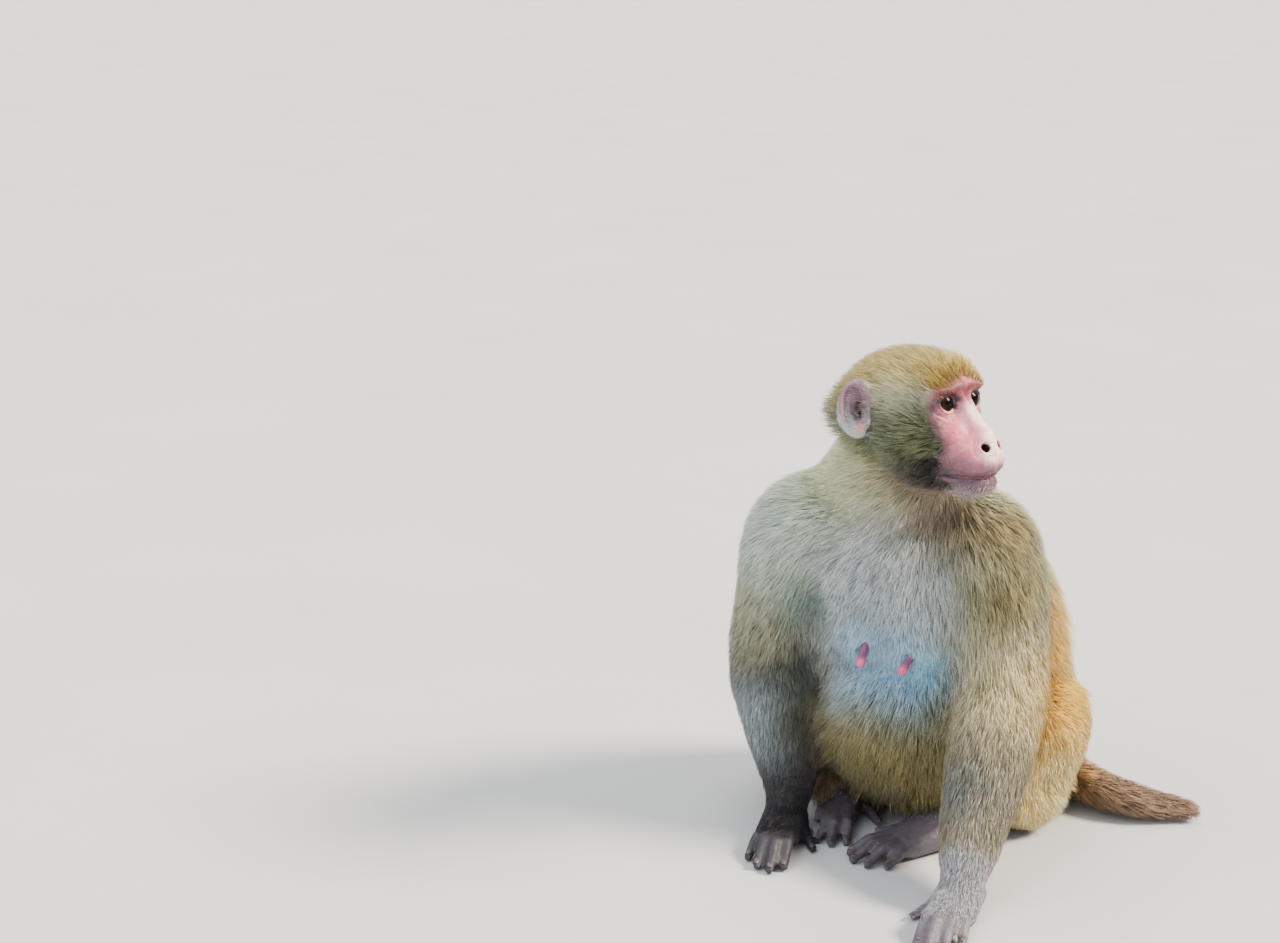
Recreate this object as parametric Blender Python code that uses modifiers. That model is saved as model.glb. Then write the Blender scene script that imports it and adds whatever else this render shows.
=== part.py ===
"""Seated adult female rhesus macaque, a still display model at life size.

The animal faces -Y, +X is its left side and +Z is up. It sits on its seat pads with the knees out to the
sides, both hands planted in front of it and the tail lying to its left. Each solid reaches out to the tips
of the coat. Everything is built in metres about the middle of the seat, and the last step moves the whole
animal so that the middle of its base is at the origin.
"""

import math

import bmesh
import bpy
import numpy as np
from mathutils import Matrix, Vector

# ---- driving sizes, in metres ------------------------------------------------------------------------

MM = 0.001
GAP = 0.4 * MM              # clear space left between neighbouring solids

JOINT_GAP = 0.5 * MM        # across the elbows, wrists, knees and ankles
EYE_SPREAD = 15.5 * MM      # eye centre to the middle plane of the head
EYE_RADIUS = 9.6 * MM
EYE_DEPTH = 41.5 * MM       # eye centre ahead of the head's centre
EYE_LIFT = 8.0 * MM

HEAD_CENTRE = Vector((0.029, -0.070, 0.397))
HEAD_YAW = math.radians(62)     # turned towards the animal's left
HEAD_PITCH = math.radians(5.5)  # chin lifted
HEAD_ROLL = math.radians(2)

# Joint centres: y is negative towards the front. The seat lies a little to the left of the shoulders.
SHOULDER = {"left": (0.083, -0.004, 0.266), "right": (-0.086, 0.002, 0.264)}
ELBOW = {"left": (0.103, -0.016, 0.148), "right": (-0.110, 0.006, 0.150)}
WRIST = {"left": (0.097, -0.122, 0.042), "right": (-0.078, -0.030, 0.048)}
HIP = {"left": (0.092, 0.078, 0.075), "right": (-0.042, 0.078, 0.075)}
KNEE = {"left": (0.128, 0.026, 0.106), "right": (-0.117, 0.042, 0.108)}
ANKLE = {"left": (0.076, 0.006, 0.034), "right": (-0.050, 0.062, 0.034)}
SEAT = Vector((0.026, 0.094, 0.0))

HAND_HEADING = {"left": (-0.06, -1.0), "right": (0.06, -1.0)}
FOOT_HEADING = {"left": (-0.66, -0.75), "right": (0.12, -0.99)}

SIDES = {"left": 1.0, "right": -1.0}

COLOURS = {
    "olive_coat": (0.30, 0.24, 0.13),
    "grey_coat": (0.33, 0.33, 0.29),
    "golden_coat": (0.46, 0.27, 0.08),
    "face_skin": (0.72, 0.40, 0.37),
    "dark_skin": (0.24, 0.17, 0.16),
    "eye": (0.10, 0.045, 0.02),
}


# ---- helpers -----------------------------------------------------------------------------------------


def clear_scene():
    """Removes every object that the file starts with."""
    for obj in list(bpy.data.objects):
        bpy.data.objects.remove(obj, do_unlink=True)


def make_material(name, roughness=0.85):
    """A plain Principled finish in the part's colour."""
    material = bpy.data.materials.new(name)
    material.use_nodes = True
    shader = material.node_tree.nodes["Principled BSDF"]
    shader.inputs["Base Color"].default_value = (*COLOURS[name], 1.0)
    shader.inputs["Roughness"].default_value = roughness
    shader.inputs["Metallic"].default_value = 0.0
    return material


def ellipsoid(bm, centre, radii, turn=(0.0, 0.0, 0.0), rings=12):
    """Adds a closed ellipsoid. turn is a rotation about X, Y and Z in degrees."""
    rotation = Matrix.Identity(4)
    for angle, axis in zip(turn, "XYZ"):
        rotation = Matrix.Rotation(math.radians(angle), 4, axis) @ rotation
    place = Matrix.Translation(Vector(centre)) @ rotation @ Matrix.Diagonal((*radii, 1.0))
    bmesh.ops.create_uvsphere(bm, u_segments=2 * rings, v_segments=rings, radius=1.0, matrix=place)


def bone(bm, start, end, start_radius, end_radius, sides=14):
    """Adds a tapered limb length with round ends between two points."""
    start, end = Vector(start), Vector(end)
    along = end - start
    turn = along.to_track_quat("Z", "Y").to_matrix().to_4x4()
    place = Matrix.Translation((start + end) / 2) @ turn
    bmesh.ops.create_cone(
        bm, cap_ends=True, segments=sides, radius1=start_radius, radius2=end_radius, depth=along.length, matrix=place
    )
    ellipsoid(bm, start, (start_radius,) * 3, rings=8)
    ellipsoid(bm, end, (end_radius,) * 3, rings=8)


def chain(bm, points, radii, sides=14):
    """Adds a bent limb through several points."""
    for index in range(len(points) - 1):
        bone(bm, points[index], points[index + 1], radii[index], radii[index + 1], sides)


def smooth_between(rows, steps):
    """Rows of numbers along a smooth curve through the given rows, with steps to each span."""
    rows = np.array(rows, float)
    padded = np.vstack([2 * rows[0] - rows[1], rows, 2 * rows[-1] - rows[-2]])
    out = []
    for i in range(1, len(padded) - 2):
        p0, p1, p2, p3 = padded[i - 1 : i + 3]
        for t in np.arange(steps) / steps:
            out.append(
                0.5 * (2 * p1 + (p2 - p0) * t + (2 * p0 - 5 * p1 + 4 * p2 - p3) * t**2
                       + (3 * p1 - p0 - 3 * p2 + p3) * t**3)
            )
    out.append(rows[-1])
    return out


def sweep(bm, stations, steps=6, rings=10):
    """Adds a bulky form as closely spaced ellipsoids. Each station is (centre, radii)."""
    for row in smooth_between([(*centre, *radii) for centre, radii in stations], steps):
        ellipsoid(bm, row[:3], row[3:], rings=rings)


def limb(bm, points, radii, steps=5, sides=14):
    """Adds a limb whose thickness and bend change smoothly through the given points."""
    rows = smooth_between([(*point, radius) for point, radius in zip(points, radii)], steps)
    chain(bm, [row[:3] for row in rows], [row[3] for row in rows], sides)


def add_modifier(obj, kind, **settings):
    modifier = obj.modifiers.new(kind.title(), kind)
    for key, value in settings.items():
        setattr(modifier, key, value)
    return modifier


def settle(obj):
    """Applies an object's modifiers by swapping in its evaluated mesh."""
    graph = bpy.context.evaluated_depsgraph_get()
    mesh = bpy.data.meshes.new_from_object(obj.evaluated_get(graph))
    old = obj.data
    obj.modifiers.clear()
    obj.data = mesh
    bpy.data.meshes.remove(old)


def object_from(bm, name, collection):
    mesh = bpy.data.meshes.new(name)
    bm.to_mesh(mesh)
    bm.free()
    obj = bpy.data.objects.new(name, mesh)
    collection.objects.link(obj)
    return obj


def fused(name, bm, voxel, soften, triangles, place=None):
    """One smooth closed form from overlapping shapes: fused, softened and thinned to a triangle count."""
    obj = object_from(bm, name, HELPERS)
    if place is not None:
        obj.data.transform(place)
    add_modifier(obj, "REMESH", mode="VOXEL", voxel_size=voxel)
    add_modifier(obj, "SMOOTH", factor=0.5, iterations=soften)
    settle(obj)
    faces = 2 * len(obj.data.polygons)
    add_modifier(obj, "DECIMATE", ratio=min(1.0, triangles / faces))
    settle(obj)
    return obj


def hide_helper(obj):
    obj.hide_render = True
    obj.display_type = "WIRE"


def swollen_copy(obj, by=GAP):
    """A cutter: the same form, grown a little, so that what it cuts keeps a gap to it."""
    cutter = bpy.data.objects.new(obj.name + "_cutter", obj.data.copy())
    HELPERS.objects.link(cutter)
    add_modifier(cutter, "DISPLACE", strength=by, mid_level=0.0)
    settle(cutter)
    hide_helper(cutter)
    return cutter


def cut_away(obj, *cutters):
    """Takes closed forms out of obj, one after another."""
    for cutter in cutters:
        add_modifier(obj, "BOOLEAN", operation="DIFFERENCE", object=cutter, solver="EXACT")
        settle(obj)


def keep_side(obj, point, normal):
    """Cuts obj with a plane, keeps the side that normal points to, and closes the cut."""
    bm = bmesh.new()
    bm.from_mesh(obj.data)
    everything = bm.verts[:] + bm.edges[:] + bm.faces[:]
    cut = bmesh.ops.bisect_plane(
        bm, geom=everything, dist=1e-7, plane_co=Vector(point), plane_no=Vector(normal), clear_inner=True
    )
    rim = [item for item in cut["geom_cut"] if isinstance(item, bmesh.types.BMEdge)]
    if rim:
        filled = bmesh.ops.holes_fill(bm, edges=rim, sides=0)
        bmesh.ops.triangulate(bm, faces=filled["faces"])
    bm.to_mesh(obj.data)
    bm.free()


def keep_largest(obj):
    """Drops the crumbs that a cut can leave beside the main body."""
    bm = bmesh.new()
    bm.from_mesh(obj.data)
    unseen = set(bm.verts)
    groups = []
    while unseen:
        stack = [unseen.pop()]
        group = set(stack)
        while stack:
            for edge in stack.pop().link_edges:
                for vertex in edge.verts:
                    if vertex in unseen:
                        unseen.discard(vertex)
                        group.add(vertex)
                        stack.append(vertex)
        groups.append(group)
    groups.sort(key=len, reverse=True)
    for group in groups[1:]:
        bmesh.ops.delete(bm, geom=list(group), context="VERTS")
    bm.to_mesh(obj.data)
    bm.free()


def joint_plane(before, joint, after):
    """The unit normal of the plane that halves a bent joint, pointing down the limb."""
    before, joint, after = Vector(before), Vector(joint), Vector(after)
    return ((joint - before).normalized() + (after - joint).normalized()).normalized()


def part_limb(form, names, cuts):
    """Splits a limb form into named lengths at (point, normal) cuts, listed from the body outwards."""
    lengths = []
    for index, name in enumerate(names):
        piece = bpy.data.objects.new(name, form.data.copy())
        HELPERS.objects.link(piece)
        if index > 0:
            point, normal = cuts[index - 1]
            keep_side(piece, Vector(point) + Vector(normal) * JOINT_GAP / 2, normal)
        if index < len(cuts):
            point, normal = cuts[index]
            keep_side(piece, Vector(point) - Vector(normal) * JOINT_GAP / 2, -Vector(normal))
        lengths.append(piece)
    return lengths


def flatten_base(obj):
    """Cuts what was pressed into the floor off level, so that the piece rests on a small flat."""
    keep_side(obj, (0.0, 0.0, 0.0), (0.0, 0.0, 1.0))


def finish_node(obj, material):
    """Turns a helper into a visible node of the animal."""
    HELPERS.objects.unlink(obj)
    ANIMAL.objects.link(obj)
    obj.data.materials.clear()
    obj.data.materials.append(MATERIALS[material])
    obj.data.polygons.foreach_set("use_smooth", [True] * len(obj.data.polygons))
    return obj


# ---- the head, in its own frame: it faces -Y, in millimetres ---------------------------------------------


def head_place():
    """From the head's own frame to the animal's."""
    turn = Matrix.Rotation(HEAD_YAW, 4, "Z") @ Matrix.Rotation(-HEAD_PITCH, 4, "X") @ Matrix.Rotation(HEAD_ROLL, 4, "Y")
    return Matrix.Translation(HEAD_CENTRE) @ turn @ Matrix.Scale(MM, 4)


def both(bm, centre, radii, turn=(0.0, 0.0, 0.0)):
    """A pair of mirrored ellipsoids."""
    x, y, z = centre
    pitch, roll, yaw = turn
    ellipsoid(bm, (x, y, z), radii, (pitch, roll, yaw))
    ellipsoid(bm, (-x, y, z), radii, (pitch, -roll, -yaw))


def head_form():
    """Skull, brow, muzzle and cheeks with the coat on."""
    bm = bmesh.new()
    sweep(bm, [((0, 35, -4), (42, 40, 41)), ((0, 12, 8), (47, 50, 43)),
               ((0, -12, 15), (43, 40, 36)), ((0, -23, 20), (38, 33, 30))], steps=4)    # braincase
    both(bm, (15, -45, 21), (18, 12, 8), (0, 0, 14))            # brow ridge
    sweep(bm, [((0, -48, 20), (12, 9, 9)), ((0, -54, 8), (8.5, 8, 8)),
               ((0, -63, -9), (10, 10, 10)), ((0, -72, -22), (12, 9, 9))])       # bridge of the nose
    ellipsoid(bm, (0, -29, 0), (35, 23, 24))                    # upper face
    both(bm, (25, -35, -7), (13, 12, 14), (0, 0, 20))           # cheek bones
    sweep(bm, [((0, -40, -20), (30, 20, 24)), ((0, -56, -29), (24, 22, 20)),
               ((0, -66, -34), (21, 20, 17))])                  # muzzle
    ellipsoid(bm, (0, -64, -55), (17, 16, 13))                  # chin
    sweep(bm, [((0, -56, -53), (19, 18, 14)), ((0, -34, -51), (25, 26, 18))])    # jaw
    both(bm, (27, -12, -24), (22, 30, 30), (12, 0, 8))          # cheek ruff
    ellipsoid(bm, (0, -12, -46), (32, 36, 24))                  # throat
    return fused("head_form", bm, 2.0, 12, 1450)


def eye_ball(name, side):
    bm = bmesh.new()
    bmesh.ops.create_uvsphere(bm, u_segments=14, v_segments=8, radius=EYE_RADIUS / MM)
    obj = object_from(bm, name, HELPERS)
    seat = Vector((SIDES[side] * EYE_SPREAD, -EYE_DEPTH, EYE_LIFT)) / MM
    obj.data.transform(Matrix.Translation(seat) @ Matrix.Rotation(math.radians(90), 4, "X"))
    return obj



def ear_form(name, side):
    """A rounded shell that stands off the head, with a rolled rim round a hollow that faces out and forwards."""
    sign = SIDES[side]
    bm = bmesh.new()
    ellipsoid(bm, (0, 0, 1), (14.5, 4.6, 22))
    rim = [(13.2 * math.cos(t), -3.0, 1 + 21 * math.sin(t)) for t in np.radians(np.linspace(-75, 200, 14))]
    chain(bm, rim, [2.7] * len(rim), sides=8)
    ellipsoid(bm, (-3, -1, -17), (9, 5, 7.5))
    ellipsoid(bm, (-11, -2, -9), (4, 4, 6))
    obj = fused(name, bm, 1.2, 2, 200)
    hollow_bm = bmesh.new()
    ellipsoid(hollow_bm, (0.5, -6.0, 2.0), (10.0, 6.6, 16.5), rings=6)
    hollow = object_from(hollow_bm, name + "_hollow", HELPERS)
    hide_helper(hollow)
    cut_away(obj, hollow)
    lean = Matrix.Rotation(math.radians(50), 4, "Z") @ Matrix.Rotation(math.radians(-8), 4, "Y")
    obj.data.transform(Matrix.Diagonal((sign, 1.0, 1.0, 1.0)) @ Matrix.Translation((50.0, 16.0, 4.0)) @ lean)
    if sign < 0:
        obj.data.flip_normals()
    return obj


# ---- hands and feet --------------------------------------------------------------------------------------


def paw_frame(origin, heading, side):
    """Heading, thumb side and up, with the origin dropped to the floor."""
    ahead = Vector((*heading, 0.0)).normalized()
    inward = Vector((-ahead.y, ahead.x, 0.0)) * (-SIDES[side])
    base = Vector((origin[0], origin[1], 0.0))

    def at(forward, thumbwards, up):
        return base + (ahead * forward + inward * thumbwards + Vector((0, 0, up))) * MM

    return at


def digit(bm, at, root, spread, lengths, heights, radii):
    """A finger or toe: three bones that run forwards and down to the floor."""
    forward, across, up = root
    points = [at(forward, across, up)]
    for length, height in zip(lengths, heights):
        forward += length * math.cos(math.radians(spread))
        across += length * math.sin(math.radians(spread))
        points.append(at(forward, across, height))
    chain(bm, points, [r * MM for r in radii], sides=10)


# Root (forward, thumbwards, up), spread in degrees, bone lengths, joint heights: millimetres.
FINGERS = {
    "index": ((47, 12, 15), 4, (21, 12, 9), (17, 9, 3.9)),
    "middle": ((50, 4, 16), 1, (24, 14, 9), (18, 9, 3.9)),
    "ring": ((48, -5, 15), -3, (22, 13, 9), (17, 9, 3.9)),
    "little": ((43, -13, 13), -8, (17, 10, 8), (14, 8, 3.7)),
    "thumb": ((18, 16, 9), 28, (13, 11, 7), (7, 5, 3.8)),
}
TOES = {
    "second": ((79, 12, 12), 6, (18, 11, 8), (13, 8, 3.9)),
    "third": ((82, 3, 13), 0, (20, 12, 8), (14, 8, 3.9)),
    "fourth": ((79, -7, 12), -5, (19, 11, 8), (13, 8, 3.9)),
    "fifth": ((72, -15, 11), -11, (16, 9, 7), (11, 7, 3.8)),
    "great": ((38, 16, 10), 34, (20, 12, 8), (9, 6, 4.2)),
}
FINGER_RADII = (5.6, 5.0, 4.6, 4.0)
TOE_RADII = (5.8, 5.2, 4.7, 4.2)


def hand_form(side):
    """Wrist, palm and five fingers planted on the floor, back of the hand up."""
    at = paw_frame(WRIST[side], HAND_HEADING[side], side)
    bm = bmesh.new()
    wrist_up = WRIST[side][2] / MM
    elbow, wrist = Vector(ELBOW[side]), Vector(WRIST[side])
    bone(bm, wrist + (elbow - wrist) * 0.16, wrist, 0.0265, 0.0240)
    bone(bm, wrist, at(16, 0, 17), 0.0225, 0.0170)
    for across, lift in ((12, 12), (4, 13), (-5, 13), (-13, 11)):
        bone(bm, at(10, across * 0.6, min(wrist_up, 18)), at(46, across, lift), 0.0125, 0.0080)
    ellipsoid(bm, at(24, 10, 9), (0.014, 0.016, 0.010))
    for root, spread, lengths, heights in FINGERS.values():
        digit(bm, at, root, spread, lengths, heights, FINGER_RADII)
    return fused(f"hand_{side}_form", bm, 0.0016, 3, 440)


def foot_form(side):
    """Ankle, heel, sole and five toes flat on the floor."""
    at = paw_frame(ANKLE[side], FOOT_HEADING[side], side)
    bm = bmesh.new()
    knee, ankle = Vector(KNEE[side]), Vector(ANKLE[side])
    bone(bm, ankle + (knee - ankle) * 0.16, ankle, 0.0260, 0.0235)
    bone(bm, ankle, at(-22, 0, 13), 0.020, 0.0138)
    for across, lift in ((12, 11), (4, 12), (-6, 11.5), (-14, 10)):
        bone(bm, at(8, across * 0.6, 20), at(76, across, lift), 0.0170, 0.0082)
    bone(bm, at(-20, 0, 12), at(66, 0, 9.5), 0.0140, 0.0100)
    bone(bm, at(10, 8, 14), at(42, 14, 10), 0.0140, 0.0080)
    for root, spread, lengths, heights in TOES.values():
        digit(bm, at, root, spread, lengths, heights, TOE_RADII)
    return fused(f"foot_{side}_form", bm, 0.0017, 3, 420)


# ---- limbs, trunk, neck and tail -------------------------------------------------------------------------


def along(start, end, share):
    return Vector(start).lerp(Vector(end), share)


ARM_RADII = {
    "left": (0.040, 0.047, 0.044, 0.0400, 0.0385, 0.0260),
    "right": (0.040, 0.046, 0.042, 0.0385, 0.0390, 0.0270),
}


def arm_form(side):
    """Shoulder blade to wrist: deep at the shoulder, full again below the elbow, slim at the wrist."""
    shoulder, elbow, wrist = Vector(SHOULDER[side]), Vector(ELBOW[side]), Vector(WRIST[side])
    inside = shoulder + Vector((-SIDES[side] * 0.036, 0.024, 0.018))
    bm = bmesh.new()
    points = [inside, shoulder, along(shoulder, elbow, 0.55), elbow, along(elbow, wrist, 0.4), wrist]
    limb(bm, points, ARM_RADII[side])
    bone(bm, wrist, wrist + Vector((0, -0.010, -0.012)), 0.0235, 0.020)
    return fused(f"arm_{side}_form", bm, 0.004, 6, 270)


def leg_form(side):
    """Haunch to ankle, folded, with the haunch spread on the floor."""
    hip, knee, ankle = Vector(HIP[side]), Vector(KNEE[side]), Vector(ANKLE[side])
    bm = bmesh.new()
    points = [hip, along(hip, knee, 0.5), knee, along(knee, ankle, 0.45), ankle]
    limb(bm, points, [0.067, 0.060, 0.042, 0.037, 0.025])
    ellipsoid(bm, (hip.x + SIDES[side] * 0.010, hip.y - 0.010, 0.050), (0.056, 0.058, 0.050))
    ellipsoid(bm, (hip.x + SIDES[side] * 0.026, hip.y - 0.036, 0.034), (0.032, 0.048, 0.035))
    bone(bm, ankle, ankle - Vector((0, 0, 0.010)), 0.024, 0.020)
    return fused(f"leg_{side}_form", bm, 0.004, 6, 270)


def trunk_form():
    """Pelvis, belly, chest and shoulders: a long rounded back, a full belly and two small breasts."""
    bm = bmesh.new()
    sweep(bm, [
        ((0.026, 0.092, 0.079), (0.110, 0.084, 0.078)),         # pelvis
        ((0.024, 0.074, 0.118), (0.118, 0.096, 0.086)),
        ((0.021, 0.060, 0.168), (0.123, 0.100, 0.084)),         # loins
        ((0.015, 0.048, 0.216), (0.118, 0.095, 0.072)),         # ribs
        ((0.007, 0.037, 0.256), (0.102, 0.083, 0.056)),
        ((0.001, 0.030, 0.288), (0.082, 0.068, 0.042)),         # between the shoulders
    ])
    ellipsoid(bm, (0.014, 0.020, 0.096), (0.088, 0.076, 0.082))                 # belly
    ellipsoid(bm, (0.002, 0.004, 0.232), (0.078, 0.060, 0.074))                 # breast bone
    ellipsoid(bm, (0.034, -0.026, 0.180), (0.032, 0.026, 0.034))                # left breast
    ellipsoid(bm, (-0.018, -0.028, 0.184), (0.028, 0.023, 0.031))               # right breast
    return fused("trunk_form", bm, 0.005, 10, 640)


def neck_form():
    """From between the shoulders up into the skull, with a deep furred throat."""
    bm = bmesh.new()
    sweep(bm, [
        ((0.001, 0.034, 0.258), (0.048, 0.042, 0.034)),
        ((0.004, 0.004, 0.312), (0.070, 0.063, 0.036)),
        ((0.012, -0.018, 0.342), (0.064, 0.060, 0.036)),
        ((0.018, -0.034, 0.360), (0.050, 0.048, 0.030)),
    ])
    for side in SIDES.values():
        bone(bm, (side * 0.030, 0.006, 0.318), (side * 0.066, 0.010, 0.282), 0.036, 0.030)   # slope to the shoulder
    return fused("neck_form", bm, 0.004, 8, 260)


def tail_form():
    """Lies on the floor, coming round the haunch and out to the animal's left."""
    bm = bmesh.new()
    points = [(0.030, 0.150, 0.040), (0.078, 0.161, 0.026), (0.126, 0.143, 0.0215),
              (0.160, 0.106, 0.0205), (0.204, 0.089, 0.0175), (0.252, 0.102, 0.0110)]
    limb(bm, points, [0.027, 0.0240, 0.0220, 0.0208, 0.0178, 0.0115], steps=4, sides=12)
    return fused("tail_form", bm, 0.003, 5, 190)


def seat_pad_form(side):
    """One of the two horny pads that the animal sits on."""
    bm = bmesh.new()
    ellipsoid(bm, SEAT + Vector((SIDES[side] * 0.026, 0.0, 0.006)), (0.018, 0.024, 0.0074))
    return fused(f"seat_pad_{side}_form", bm, 0.0018, 2, 70)


def nipple_form(side):
    """Long and pointing down towards the middle, as after suckling."""
    roots = {"left": (0.026, -0.0485, 0.173), "right": (-0.012, -0.0485, 0.176)}
    leans = {"left": (-0.005, -0.011, -0.011), "right": (0.000, -0.011, -0.011)}
    root = Vector(roots[side])
    tip = root + Vector(leans[side])
    bm = bmesh.new()
    chain(bm, [root, root.lerp(tip, 0.6), tip], [0.0058, 0.0048, 0.0042], sides=10)
    return fused(f"nipple_{side}_form", bm, 0.0012, 2, 70)


# ---- assembly --------------------------------------------------------------------------------------------


def build_forms():
    """Every form before it is cut. A form gives way to each form that is listed above it."""
    head_parts = {f"eye_{side}": eye_ball(f"eye_{side}", side) for side in SIDES}
    head_parts |= {f"ear_{side}": ear_form(f"ear_{side}", side) for side in SIDES}
    head_parts["head"] = head_form()
    place = head_place()
    for piece in head_parts.values():
        piece.data.transform(place)
    forms = {f"nipple_{side}": nipple_form(side) for side in SIDES}
    forms |= {f"seat_pad_{side}": seat_pad_form(side) for side in SIDES}
    head = head_parts.pop("head")
    forms |= head_parts
    for side in SIDES:
        forms[f"hand_{side}"] = part_limb(hand_form(side), ["stub", "hand"], [wrist_cut(side)])[1]
    for side in SIDES:
        forms[f"foot_{side}"] = part_limb(foot_form(side), ["stub", "foot"], [ankle_cut(side)])[1]
    forms["neck"] = neck_form()
    forms["head"] = head
    forms["tail"] = tail_form()
    forms |= {f"arm_{side}": arm_form(side) for side in SIDES}
    forms |= {f"leg_{side}": leg_form(side) for side in SIDES}
    forms["trunk"] = trunk_form()
    return forms


def wrist_cut(side):
    return WRIST[side], (Vector(WRIST[side]) - Vector(ELBOW[side])).normalized()


def ankle_cut(side):
    return ANKLE[side], (Vector(ANKLE[side]) - Vector(KNEE[side])).normalized()


def span(obj):
    """The low and high corner of a form."""
    points = np.array([vertex.co for vertex in obj.data.vertices])
    return points.min(axis=0), points.max(axis=0)


def touching(first, second):
    (low_a, high_a), (low_b, high_b) = span(first), span(second)
    return bool((low_a < high_b).all() and (low_b < high_a).all())


def cut_to_fit(forms):
    """Cuts each form back from those listed above it, so that none overlap."""
    cutters = {name: swollen_copy(form) for name, form in forms.items()}
    names = list(forms)
    for index, name in enumerate(names):
        for higher in names[:index]:
            if touching(forms[name], cutters[higher]):
                cut_away(forms[name], cutters[higher])


def build_animal():
    """The named nodes, each with its finish."""
    forms = build_forms()
    cut_to_fit(forms)
    nodes = {"head": (forms["head"], "olive_coat"), "neck": (forms["neck"], "olive_coat")}
    nodes["tail"] = (forms["tail"], "golden_coat")
    waist = ((0.0, 0.0, 0.138), Vector((0.0, -0.05, -1.0)).normalized())
    chest, belly = part_limb(forms["trunk"], ["chest", "belly"], [waist])
    nodes["chest"] = (chest, "grey_coat")
    nodes["belly"] = (belly, "golden_coat")
    for side in SIDES:
        elbow_cut = (ELBOW[side], joint_plane(SHOULDER[side], ELBOW[side], WRIST[side]))
        knee_cut = (KNEE[side], joint_plane(HIP[side], KNEE[side], ANKLE[side]))
        arm, leg = forms[f"arm_{side}"], forms[f"leg_{side}"]
        upper_arm, forearm, _ = part_limb(arm, ["upper_arm", "forearm", "stub"], [elbow_cut, wrist_cut(side)])
        thigh, shank, _ = part_limb(leg, ["thigh", "shank", "stub"], [knee_cut, ankle_cut(side)])
        nodes[f"upper_arm_{side}"] = (upper_arm, "grey_coat")
        nodes[f"forearm_{side}"] = (forearm, "grey_coat")
        nodes[f"hand_{side}"] = (forms[f"hand_{side}"], "dark_skin")
        nodes[f"thigh_{side}"] = (thigh, "golden_coat")
        nodes[f"shank_{side}"] = (shank, "golden_coat")
        nodes[f"foot_{side}"] = (forms[f"foot_{side}"], "dark_skin")
        nodes[f"ear_{side}"] = (forms[f"ear_{side}"], "face_skin")
        nodes[f"eye_{side}"] = (forms[f"eye_{side}"], "eye")
        nodes[f"seat_pad_{side}"] = (forms[f"seat_pad_{side}"], "face_skin")
        nodes[f"nipple_{side}"] = (forms[f"nipple_{side}"], "face_skin")
    return nodes


def name_nodes(nodes):
    """Renames, drops to the floor and shows the finished pieces, and hides what is left over."""
    for name, (obj, material) in nodes.items():
        obj.name = name
        flatten_base(obj)
        keep_largest(obj)
        finish_node(obj, material)
        obj.name = name
    for helper in list(HELPERS.objects):
        bpy.data.objects.remove(helper, do_unlink=True)


def centre_on_origin(objects):
    """Moves the animal so that the middle of its base is at the origin."""
    corners = [vertex.co for obj in objects for vertex in obj.data.vertices]
    low = Vector([min(c[axis] for c in corners) for axis in range(3)])
    high = Vector([max(c[axis] for c in corners) for axis in range(3)])
    shift = Matrix.Translation((-(low.x + high.x) / 2, -(low.y + high.y) / 2, -low.z))
    for obj in objects:
        obj.data.transform(shift)
    print("moved by", [round(v, 5) for v in shift.translation])


clear_scene()
ANIMAL = bpy.data.collections.new("seated_macaque")
HELPERS = bpy.data.collections.new("cutters_and_forms")
bpy.context.scene.collection.children.link(ANIMAL)
bpy.context.scene.collection.children.link(HELPERS)
MATERIALS = {name: make_material(name) for name in COLOURS}

name_nodes(build_animal())
centre_on_origin(list(ANIMAL.objects))
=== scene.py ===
"""The looks of a life-size seated macaque.

One skin covers the whole body, and a coat of solid tufts stands on it. Eyes, nails and teats are pieces
of their own. Lengths are metres unless a comment says millimetres, and the head's own axes run to its
left, to its back and up, in millimetres.
"""

import heapq
import math

import bmesh
import bpy
import numpy as np
from mathutils import Matrix, Vector
from mathutils.bvhtree import BVHTree
from mathutils.kdtree import KDTree


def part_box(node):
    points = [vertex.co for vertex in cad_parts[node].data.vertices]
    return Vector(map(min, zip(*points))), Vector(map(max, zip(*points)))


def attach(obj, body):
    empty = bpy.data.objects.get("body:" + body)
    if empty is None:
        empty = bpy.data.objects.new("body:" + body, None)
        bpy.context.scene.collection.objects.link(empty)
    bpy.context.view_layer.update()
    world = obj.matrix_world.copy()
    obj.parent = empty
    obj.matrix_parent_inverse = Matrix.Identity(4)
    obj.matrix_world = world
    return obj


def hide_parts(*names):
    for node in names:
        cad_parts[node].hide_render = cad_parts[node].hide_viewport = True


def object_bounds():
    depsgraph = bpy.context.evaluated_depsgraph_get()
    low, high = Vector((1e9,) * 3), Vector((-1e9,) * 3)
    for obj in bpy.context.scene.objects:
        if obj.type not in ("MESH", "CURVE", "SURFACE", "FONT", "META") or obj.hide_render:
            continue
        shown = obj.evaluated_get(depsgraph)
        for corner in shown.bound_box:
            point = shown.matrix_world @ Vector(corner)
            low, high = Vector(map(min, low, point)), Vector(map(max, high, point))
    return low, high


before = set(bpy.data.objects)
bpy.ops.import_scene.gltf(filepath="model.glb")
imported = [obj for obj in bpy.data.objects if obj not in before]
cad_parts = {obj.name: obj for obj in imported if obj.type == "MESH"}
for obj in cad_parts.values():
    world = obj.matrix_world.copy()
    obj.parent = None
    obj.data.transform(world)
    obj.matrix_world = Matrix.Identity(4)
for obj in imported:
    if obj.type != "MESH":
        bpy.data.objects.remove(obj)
CAD_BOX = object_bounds()

MM = 0.001
SIDES = ("left", "right")
DICE = np.random.default_rng(7)

# ---------------------------------------------------------------- the frame's nodes

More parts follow.
